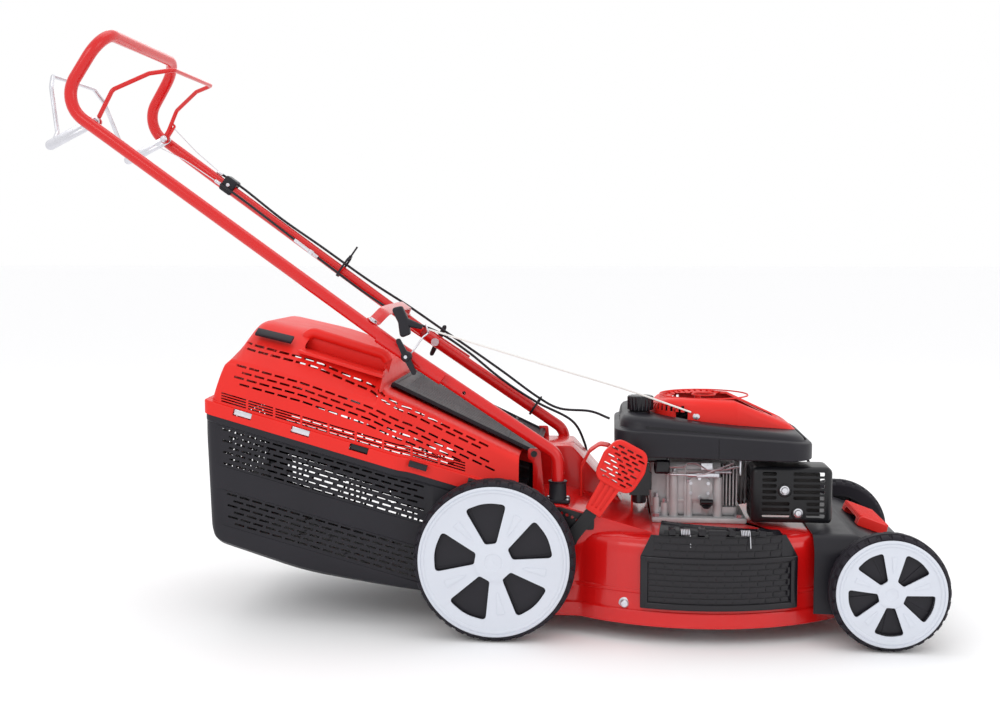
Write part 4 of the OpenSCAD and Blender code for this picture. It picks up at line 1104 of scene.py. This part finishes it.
def seam_slot(s, h, length, height, turned=0.0, y0=150, y1=240):
    """A slot through a side wall: s along the seam, h above it."""
    a = -math.radians(SEAM_ANGLE)
    x = SEAM_REAR[0] + s * math.cos(a)
    z = seam_z(x) + h
    bar = block((-length / 2, y0, -height / 2), (length / 2, y1, height / 2))
    return moved(bar, turn("Y", SEAM_ANGLE + turned), shift(x, 0, z))


SLOT_PITCH, SLOT_L, SLOT_H = 23.4, 18.2, 3.6


def slot_row(s0, s1, heights, shifted, drop=0):
    """A row of slots whose height above the seam follows a short list of (s, height)."""
    out = []
    s = s0 + shifted
    while s + SLOT_L < s1:
        start, end = along_table(heights, s), along_table(heights, s + SLOT_L)
        lean = math.degrees(math.atan((start - end) / SLOT_L))
        out.append(seam_slot(s + SLOT_L / 2, (start + end) / 2 - drop, SLOT_L, SLOT_H, lean))
        s += SLOT_PITCH
    return out


red_slots = []
MIDDLE = [(56, 99), (180, 101), (301, 94), (420, 74), (540, 54)]
UPPER = [(56, 136), (187, 140), (300, 128), (356, 112), (436, 97), (548, 78)]
for k, last in enumerate((540, 540, 490, 462)):
    red_slots += slot_row(52, last, MIDDLE, (4, 14, 0, 10)[k], 10.6 * k)
for k in range(2):
    red_slots += slot_row(54, 540 - 20 * k, UPPER, 10 * k, 8.6 * k)
for k in range(9):
    for row in range(4):
        red_slots.append(seam_slot(52 + 50 * k, 29.5 + 4.6 * row, 46, 2.5))
window_at = [70 + 107 * k for k in range(5)]
windows = [seam_slot(s, 17.5, 34, 12, 0, 215) for s in window_at]
shell_top = cut(shell_top, mirrored(joined(*red_slots)))
shell_top = cut(shell_top, mirrored(joined(*windows)))
black_slots = []
for row in range(7):
    black_slots += slot_row(30, 410, [(30, -20)], 11.5 * (row % 2), 10.2 * row)
for row in range(6):
    black_slots += slot_row(34, 405, [(30, -136)], 11.5 * (row % 2), 10.4 * row)
shell_base = cut(shell_base, mirrored(joined(*black_slots)))
# Rows of slots in the two back walls as well
back_top = [block((-560, y - 9, z - 1.8), (-440, y + 9, z + 1.8))
            for k, z in enumerate((440, 450, 460, 470)) for y in range(-128 + 6 * (k % 2), 140, 24)]
back_base = [block((-560, y - 9, z - 1.8), (-490, y + 9, z + 1.8))
             for k, z in enumerate(range(235, 356, 10)) for y in range(-140 + 12 * (k % 2), 150, 24)]
shell_top = cut(shell_top, joined(*back_top))
shell_base = cut(shell_base, joined(*back_base))

# The hand recess beside the top's ridge, and the rail that the hand closes round
RAIL = [(-356, -120, 513), (-342, -121, 521), (-212, -121, 482), (-205, -120, 470)]
recess = bevel(moved(block((-76, -30, -12), (76, 28, 60)), turn("Y", 16.5), shift(-277, -148, 482)), 9, 4)
shell_top = cut(shell_top, recess)
pocket = joined(bevel(block((-79, -33, -16), (79, 31, -11)), 1),
                bevel(block((-79, 27.5, -14), (79, 31, 17)), 1))
moved(pocket, turn("Y", 16.5), shift(-277, -148, 482))
rail = sweep(rounded(RAIL, 12, 5), 9.5, 20)
add("catcher_upper_shell", shell_top, "catcher", "red_plastic", ["catcher_top"], 30)
add("catcher_lower_shell", shell_base, "catcher", "black_plastic", ["catcher_base"], 30)
add("catcher_rail", rail, "catcher", "red_plastic")
add("catcher_recess_floor", pocket, "catcher", "red_plastic")


def seam_plate(s, h, length, height, y0, y1, soft):
    return bevel(seam_slot(s, h, length, height, 0, y0, y1), soft, 2)


latches = [seam_plate(s, 17.5, 33, 10.5, 222, 226.6, 1.2) for s in window_at[:2]]
add("catcher_latches", mirrored(joined(*latches)), "catcher", "zinc")
tongues = [seam_plate(s, 17.5, 33, 11, 220, 225, 1) for s in window_at[2:]]
add("catcher_tongues", mirrored(joined(*tongues)), "catcher", "gloss_black")
inset_plate = block((-34, -9, -3), (34, 9, 3))
inset_plate = bevel(moved(inset_plate, turn("X", 32), turn("Y", 13), shift(-404, -158, 517)), 1.5)
add("catcher_inset", inset_plate, "catcher", "black_plastic")

# ---- rear flap ------------------------------------------------------------

FLAP_L, FLAP_HINGE, FLAP_SLOPE = 285, (62, 308.5), 25.3
panel = bevel(block((-FLAP_L, -142, -2), (-4.5, 142, 2)), 1.8, 3)
grooves = [block((-FLAP_L + 22, y - 0.9, 1.2), (-26, y + 0.9, 4)) for y in range(-112, 113, 16)]
panel = cut(panel, *grooves)
edges = [bevel(block((-FLAP_L + 2, y - 3, -2), (-8, y + 3, 5.5)), 1.4, 3) for y in (-138, 138)]
edges.append(bevel(block((-FLAP_L, -141, -5), (-FLAP_L + 7, 141, 3.5)), 1.6, 3))
edges.append(bevel(block((-60, -130, 1), (-54, 130, 4.5)), 1.2, 2))
lie = [turn("Y", FLAP_SLOPE), shift(FLAP_HINGE[0], 0, FLAP_HINGE[1])]
barrel = []
for y in range(-144, 140, 36):
    barrel.append(moved(lathe([(3.2, 0), (6, 0), (6, 35.4), (3.2, 35.4)], 32), turn("X", -90),
                        shift(FLAP_HINGE[0], y, FLAP_HINGE[1])))
flap = joined(moved(joined(panel, *edges), *lie), *barrel)
add("rear_flap_panel", flap, "rear_flap", "black_plastic", ["rear_flap"])

# ---- height lever ---------------------------------------------------------

GRIP = (218, 297)
LEVER_Y = -203
paddle_line = rounded_outline([(-36, -40), (36, -40), (40, 8), (30, 41), (-30, 41), (-40, 8)],
                              [22, 22, 26, 20, 20, 26], 7)
paddle = bevel(side_prism(paddle_line, -7, 7), 2.4, 3, 50)
pocket_line = rounded_outline([(-30, -33), (30, -33), (34, 8), (25, 35), (-25, 35), (-34, 8)], 18, 6)
paddle = cut(paddle, side_prism(pocket_line, -9, -5.2))
slots = []
for row in range(9):
    z = -29 + row * 7.4
    for k in range(-2, 3):
        x = k * 17 + (8.5 if row % 2 else 0)
        if abs(x) < 31 - abs(z) * 0.12:
            half_l = min(6.4, 33 - abs(x))
            slots.append(side_prism(stadium((x - half_l + 1.8, z), (x + half_l - 1.8, z), 3.6, 4), -12, 12))
paddle = cut(paddle, *slots)
lie_grip = [turn("Y", 28), shift(GRIP[0], LEVER_Y + 1, GRIP[1])]
stem = side_prism(rounded_outline([(-15, -96), (15, -96), (19, -30), (-19, -30)], 3, 3), -5, 5)
stem = bevel(stem, 1.2, 2)
stem = cut(stem, *[side_prism(stadium((k * 8.4, -84), (k * 9.6, -42), 4.4, 5), -9, -2.4) for k in (-1, 0, 1)])
stem_lie = [turn("Y", 32.0), shift(GRIP[0], LEVER_Y + 1.5, GRIP[1])]
grip = joined(moved(paddle, *lie_grip), moved(stem, *stem_lie))
add("lever_paddle", grip, "rear_axle", "red_plastic", ["height_lever_grip"])

plate_line = rounded_outline([(95, 183), (95, 222), (112, 222), (170, 206), (170, 183)], 5, 4)
plate = side_prism(plate_line, -195.5, -192)
notches = [side_prism(circle(x, z, 3, 16), -200, -188) for x, z in arc(*REAR_PIVOT, 98, 51.2, 80.15, 5)]
plate = cut(bevel(plate, 0.5), *notches)
add("height_plate", plate, "chassis", "black_metal", ["height_quadrant"])

# ---- sockets that carry the handle ----------------------------------------

collar = lathe([(11.3, 0), (17, 0), (17, 6), (15.6, 8), (15.2, 34), (16.6, 36), (16.6, 38), (11.3, 38)], 48)
foot = bevel(prism(rounded_outline([(-22, -20), (22, -20), (22, 20), (-22, 20)], 6), 0, 6), 1.2)
screws = [moved(lathe([(0.01, 5), (3.6, 5), (3.6, 7.2), (2.4, 8), (0.01, 8.2)], 20), shift(x, y, 0))
          for x in (-17, 17) for y in (-14, 14)]
socket = moved(joined(collar, foot), shift(105, 160, 225))
add("socket_pair", mirrored(socket), "chassis", "black_plastic", ["handle_sockets"])
add("socket_screws", mirrored(moved(joined(*screws), shift(105, 160, 225))), "chassis", "zinc")


# ---- engine ---------------------------------------------------------------

ENGINE_X = 380.5
COVER_X, GRILLE_X = 364, 371      # middles of the recoil cover and of its grille
FUEL_CAP = (252, -58)
SHROUD_HALF_L, SHROUD_HALF_W, SHROUD_CORNER = 175.5, 150, 50
SHROUD_BOTTOM = [(205, 307), (220, 307), (388, 298), (556, 301)]
SHROUD_LEDGE = [(205, 350), (388, 345), (556, 328)]
SHROUD_TOP = [(205, 379), (214, 379), (545, 342), (556, 340.8)]


def shroud_ring(distance, table, lift=0.0):
    """One level of the shroud: its rounded plan, moved in, at a height that depends on x."""
    half_l, half_w = SHROUD_HALF_L - distance, SHROUD_HALF_W - distance
    r = max(12, SHROUD_CORNER - distance * 0.6)
    points = []
    for sx, sy, start in ((-1, 1, 180), (1, 1, 90), (1, -1, 0), (-1, -1, -90)):
        points += arc(ENGINE_X + sx * (half_l - r), sy * (half_w - r), r, start, start - 90, 10)
    return [(x, y, along_table(table, x) + lift) for x, y in points]


shroud_levels = [(34, SHROUD_TOP, 0), (24, SHROUD_TOP, -0.8), (17, SHROUD_TOP, -4), (13, SHROUD_TOP, -9),
                 (11, SHROUD_TOP, -15), (9.5, SHROUD_LEDGE, 5), (8, SHROUD_LEDGE, 3), (3, SHROUD_LEDGE, 1.5),
                 (1, SHROUD_LEDGE, 0), (0, SHROUD_LEDGE, -3), (0, SHROUD_BOTTOM, 1), (0.8, SHROUD_BOTTOM, 0),
                 (3, SHROUD_BOTTOM, 0), (3, SHROUD_LEDGE, -4), (12.5, SHROUD_LEDGE, -2),
                 (14, SHROUD_TOP, -15),
                 (19, SHROUD_TOP, -7), (34, SHROUD_TOP, -3.2)]
shroud = from_rings([shroud_ring(*level) for level in shroud_levels])
shroud = cut(shroud, prism(circle(COVER_X, 0, 92, 72), 330, 395),
             prism(circle(*FUEL_CAP, 19, 40), 352, 395))
vents = [bevel(block((200, y - 2.4, 354), (236, y + 2.4, 371)), 1) for y in range(-26, 90, 11)]
vents += [block((387, side * 151 - 2.2, 290), (388.6, side * 151 + 2.2, 352)) for side in (-1, 1)]
shroud = cut(shroud, *vents)
add("shroud_cover", shroud, "chassis", "black_plastic", ["engine_shroud"], 28)

# Red recoil cover: a round crown with a grille, running out to a nose at the front
CROWN = [(262, 374.6), (272, 386), (285, 395), (300, 400.5), (318, 402), (400, 402), (430, 396.5), (455, 387),
         (535, 347), (539, 344)]


def cover_ring(distance, drop):
    start = [(424, 93), (535, 52)]
    nose = start + [(x, -y) for x, y in start[::-1]]
    plan = arc(COVER_X, 0, 100, 180, 88, 26)
    plan += rounded_outline([(COVER_X, 100)] + nose + [(COVER_X, -100)], 24, 8)[9:-9]
    plan += arc(COVER_X, 0, 100, -88, -180, 26)[:-1]
    ring = []
    for x, y in inset(plan, distance):
        floor = 379.4 - (x - 214) * 0.11178
        ring.append((x, y, max(floor + 0.3 * distance ** 0.5, along_table(CROWN, x) - drop)))
    return ring


cover_levels = [(22, 0.0), (13, 0.2), (8, 1.4), (4.5, 3.6), (2, 7), (0.8, 11), (0, 17), (0, 60)]
cover = from_rings([cover_ring(*level) for level in cover_levels])
hollow_rings = [[(x, y, z - 3) for x, y, z in cover_ring(d + 3, drop)] for d, drop in cover_levels[:-1]]
cover_hollow = from_rings(hollow_rings + [[(x, y, 330) for x, y, z in cover_ring(3, 60)]])
slots = []
for count, near, far, width in ((20, 24, 44, 4.2), (30, 49, 64, 4.6), (40, 69, 78, 4.6)):
    for k in range(count):
        slots.append(moved(block((near, -width / 2, 395), (far, width / 2, 412)),
                           turn("Z", 360 * k / count), shift(GRILLE_X, 0, 0)))
for k in range(22):
    slots.append(moved(block((90, -3.2, 378.5), (112, 3.2, 390)), turn("Z", 112 + 136 * k / 21),
                       shift(COVER_X, 0, 0)))
slots.append(bevel(block((299, -118, 345), (336, -84, 385)), 5, 3))
cover = cut(cut(cover, cover_hollow), *slots)
post = rod((360, 0, 371), (360, 0, 400.5), 6)
lips = [moved(lathe([(r, 400.6), (r + 2.6, 400.6), (r + 2, 403), (r + 0.6, 403)], 96), shift(GRILLE_X, 0, 0))
        for r in (20, 80)]
add("recoil_shell", joined(cover, post, *lips), "chassis", "red_plastic", ["recoil_cover"], 30)
cover_screw = moved(lathe([(0.01, 0), (7, 0), (7, 1), (5.5, 1.4), (5, 4), (0.01, 5)], 28), turn("X", 90),
                    shift(352, -97.5, 372))
add("recoil_screw", cover_screw, "chassis", "zinc")


def ribbed(angle, r, z):
    """A grip edge of twenty ribs."""
    return (r + (0.9 * math.cos(20 * angle) if r > 22.5 and z < 403 else 0), z)


cap_profile = [(0.01, 405.4), (15, 405.4), (16, 404.2), (17, 404.2), (18, 405), (21.8, 404.6),
               (23, 402.6), (23, 380), (22.4, 378.6), (20, 378.6), (20, 383), (0.01, 383)]
add("cap_grip", moved(lathe(cap_profile, 160, ribbed), shift(*FUEL_CAP, 0)), "fuel_cap", "gloss_black",
    ["fuel_cap"])
tank = bevel(block((216, -92, 322), (262, 70, 367)), 5, 3)
neck = lathe([(15, 345), (17.5, 345), (17.5, 376.6), (15, 376.6)], 48)
add("tank_body", joined(cut(tank, bevel(block((219, -89, 325), (259, 67, 364)), 4, 3),
                            prism(circle(*FUEL_CAP, 15, 40), 350, 380)),
                        moved(neck, shift(*FUEL_CAP, 0))), "chassis", "black_plastic", ["fuel_tank"])

# Muffler guard: a box of pressed sheet with two columns of slots and two dished bolts
guard = bevel(block((445, -141, 186), (588, -64, 289)), 12, 5)
guard = cut(guard, bevel(block((448, -138, 170), (585, -40, 286)), 9, 4))
slots = []
for k in range(8):
    z = 199.6 + 10.6 * k
    for x0, x1 in ((465, 513), (542, 574)) if k < 3 else ((465, 490), (519, 574)):
        slots.append(bevel(block((x0, -150, z), (x1, -128, z + 6.6)), 2.6, 3))
for k in range(5):
    for x in (570, 430):
        slots.append(bevel(block((x, -126, 206 + 14 * k), (x + 30, -80, 211 + 14 * k)), 2.2, 3))
guard = cut(guard, *slots)
add("guard_shell", guard, "chassis", "black_metal", ["muffler_guard"], 30)
disc = lathe([(0.01, 0), (8, 0), (8.2, 1), (6, 1.6), (5, 4), (0.01, 4.6)], 28)
spots = [(504, 248), (528, 208)]
dish = lathe([(8.6, 0), (12.4, 0), (12.4, 0.8), (10.6, 2.6), (9.4, 2.6), (8.6, 1)], 36)
add("guard_dishes", joined(*[moved(dish.copy(), turn("X", 90), shift(x, -140.6, z)) for x, z in spots]),
    "chassis", "black_metal")
dish.free()
add("guard_bolts", joined(*[moved(disc.copy(), turn("X", 90), shift(x, -140.6, z)) for x, z in spots]),
    "chassis", "zinc")
disc.free()

TALL_BOSSES = [(312, 8, 272), (340, 6, 252), (391, 8, 262)]    # (x, radius, top)
LOW_BOSSES = [(281, 6, 224), (296, 7, 214)]

# Crankcase: a ribbed casting on a flange, with a bolted cover and the dipstick's boss
case = unite(bevel(block((272, -95, 190), (428, 95, 288)), 9, 4),
             bevel(block((273, -112, 180), (442, 112, 190)), 3, 2),
             prism(circle(360, 0, 30, 48), 280, 300))
case = cut(case, mirrored(block((396, 57, 207), (440, 120, 300))),
           mirrored(block((260, 84, 206), (300, 120, 300))))
parts = [bevel(block((x, -99, 189), (x + 4, 99, 280)), 1.2) for x in (306, 331, 385)]
parts += [bevel(block((303, -98, 268), (392, 98, 275)), 2, 2),
          bevel(rod((358, -93, 242), (358, -100, 242), 24, 48), 1.6)]
for boss_y, bosses in ((96, TALL_BOSSES), (92, LOW_BOSSES)):
    parts += [rod((x, y, 185), (x, y, top), r) for y in (-boss_y, boss_y) for x, r, top in bosses]
parts += [rod((370, -88, 198.6), (370, -106, 213), 9), bevel(block((300, -97, 215), (396, 97, 222)), 1.6)]
parts += [bevel(block((x, -93, 209), (x + 2.4, 93, 283)), 0.8, 1) for x in range(400, 428, 6)]
for part in parts:
    case = unite(case, part)
case = cut(case, prism(circle(360, 0, 70, 64), 200, 280))
case = cut(case, prism(circle(360, 0, 12.6, 48), 170, 310))
case = cut(case, rod((370, -80, 191.9), (370, -107, 213.8), 6), block((400, -34, 221), (430, 34, 280)))
for y in (BOLT_Y, -BOLT_Y):
    for x in BOLT_X:
        case = cut(case, rod((x, y, 170), (x, y, 200), 4.1))
add("crankcase_casting", case, "chassis", "alloy", ["crankcase"], 32)
hexes = []
for a in range(30, 390, 60):
    x, z = 358 + 18 * math.cos(math.radians(a)), 242 + 18 * math.sin(math.radians(a))
    hexes.append(rod((x, -99.6, z), (x, -103, z), 3.4, 6))
hexes += [rod((x, -96, top), (x, -96, top + 5), 5, 6) for x, _, top in TALL_BOSSES]
hexes += [rod((x, -92, top), (x, -92, top + 7), 4, 6) for x, _, top in LOW_BOSSES]
add("crankcase_bolts", joined(*hexes), "chassis", "zinc")

# Finned cylinder and its head
barrel = [moved(lathe([(32.1, 0), (41, 0), (41, 78), (32.1, 78)], 64), turn("Y", 90), shift(428, 0, 250))]
barrel.append(moved(lathe([(0.01, 73), (36, 73), (36, 78), (0.01, 78)], 64), turn("Y", 90),
                    shift(428, 0, 250)))
for x in range(436, 505, 7):
    fin = bevel(block((x, -56, 205), (x + 2.4, 56, 292)), 1, 1)
    barrel.append(cut(fin, rod((x - 5, 0, 250), (x + 8, 0, 250), 40, 48)))
barrel.append(bevel(block((506, -50, 210), (530, 50, 290)), 4, 3))
for z in range(218, 288, 9):
    barrel.append(bevel(block((529, -46, z), (536, 46, z + 2.4)), 0.8, 1))
add("cylinder_fins", joined(*barrel), "chassis", "alloy", ["cylinder_block"], 32)

# Throttle rods, their bracket and the black intake above the crankcase
THROTTLE_ROD = [(300, -110, 281), (330, -112, 283), (336, -112, 289), (352, -112, 289),
                (372, -112, 277), (404, -112, 279), (430, -108, 284)]
GOVERNOR_ROD = [(296, -108, 268), (340, -114, 268), (366, -114, 270), (418, -110, 290)]
rods = [sweep(rounded(THROTTLE_ROD, 4, 4), 1.7, 8),
        sweep(rounded(GOVERNOR_ROD, 5, 4), 1.3, 8),
        coil((384, -107, 273), (414, -107, 277), 2.8, 0.8, 14),
        rod((336, -113, 268), (352, -113, 268), 4, 12),
        bevel(block((352, -112, 263), (392, -109, 271)), 0.8),
        bevel(block((360, -113, 277), (380, -110, 290)), 0.8),
        rod((372, -115, 283), (372, -108, 283), 4, 6), bevel(block((428, -112, 268), (431, -94, 294)), 0.6)]
add("throttle_rods", joined(*rods), "chassis", "zinc")
intake = [bevel(block((246, -118, 290), (300, -70, 306)), 5, 3),
          bevel(block((276, -122, 270), (304, -98, 296)), 5, 3)]
add("intake_duct", joined(*intake), "chassis", "gloss_black")
bowl = moved(lathe([(0.01, 0), (11, 0), (13, 2), (13, 16), (11, 18), (0.01, 18)], 40), shift(250, -108, 216))
add("float_bowl", bowl, "chassis", "gloss_black")

dip_side = unit((0, -16, 13))
dip_top = Vector((370, -106, 213))
flat = lathe([(0.01, 0), (8, 0), (9.4, 1), (9.4, 3.4), (8, 4.6), (0.01, 4.6)], 48)
tilt = Vector((0, 0, 1)).rotation_difference(dip_side).to_matrix().to_4x4()
stem = rod(dip_top + dip_side * 1, dip_top - dip_side * 14, 4.6)
wing = moved(bevel(block((-12, -4.4, 3), (12, 4.4, 14.9)), 2.4, 3), tilt, Matrix.Translation(dip_top))
flat = moved(flat, Matrix.Scale(1, 4), tilt, Matrix.Translation(dip_top + dip_side * 0.4))
add("dipstick_grip", joined(flat, wing, stem), "oil_dipstick", "gloss_black", ["oil_dipstick"])
plug = [moved(lathe([(0.01, 0), (10, 0), (10, 20), (8, 24), (6.5, 30), (0.01, 30)], 32), turn("Y", 90),
              shift(546, 26, 250)),
        moved(lathe([(0.01, 0), (7, 0), (7, 16), (0.01, 16)], 6), turn("Y", 90), shift(530, 26, 250))]
lead = sweep(smooth_path([(566, 26, 250), (574, 30, 262), (566, 46, 284), (548, 58, 300)]), 2.6, 10)
add("plug_boot", joined(*plug, lead), "chassis", "gloss_black", ["spark_plug"])
filter_box = [bevel(block((214, 40, 210), (270, 130, 296)), 7, 4)]
filter_box += [bevel(block((212.6, y, 222), (215, y + 3, 284)), 0.8) for y in range(54, 118, 9)]
add("filter_case", joined(*filter_box), "chassis", "black_plastic", ["air_filter_box"])

GEARBOX_PULLEY = (5, -98)
NEAR_PULLEY_R, FAR_PULLEY_R = 25, 38


def belt_path(gap):
    """The loop that lies gap outside the two pulleys' pitch circles."""
    near, far = Vector((CRANK_X, 0)), Vector(GEARBOX_PULLEY)
    along = far - near
    heading = math.degrees(math.atan2(along.y, along.x))
    spread = 90 + math.degrees(math.asin((FAR_PULLEY_R - NEAR_PULLEY_R) / along.length))
    return (arc(*near, NEAR_PULLEY_R + gap, heading + spread, heading + 360 - spread, 24)
            + arc(*far, FAR_PULLEY_R + gap, heading - spread, heading + spread, 24))


belt = cut(prism(belt_path(3.5), 163.8, 168.2), prism(belt_path(-1), 160, 172))
loop = add("belt_loop", belt, "chassis", "belt", ["drive_belt"])
loop.parent = None
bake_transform(loop)


# ---- the CAD pieces that stay as they are ---------------------------------

dress("zinc", "bolts", "height_link", width=0.4)
dress("black_metal", "hinge_hardware", width=0.3)
dress("black_metal", "height_lever_arm", width=0.5)
dress("steel", "crankshaft", "blade_adapter", "gearbox_pulley", "drive_shaft", width=0.4)
# The muffler gets a colour of painted shade, for the shadow behind the guard's slots.
dress("muffler_painted_shade", "muffler", width=1)
dress("steel", "rear_axle_carrier", "front_axle_carrier", width=0.6)
dress("alloy", "piston", "flywheel", "gearbox", width=0.6)
dress("black_plastic", "starter_pulley", width=0.7)
dress("gloss_black", "carburettor", width=1.2)
dress("steel", "blade", width=0.3)
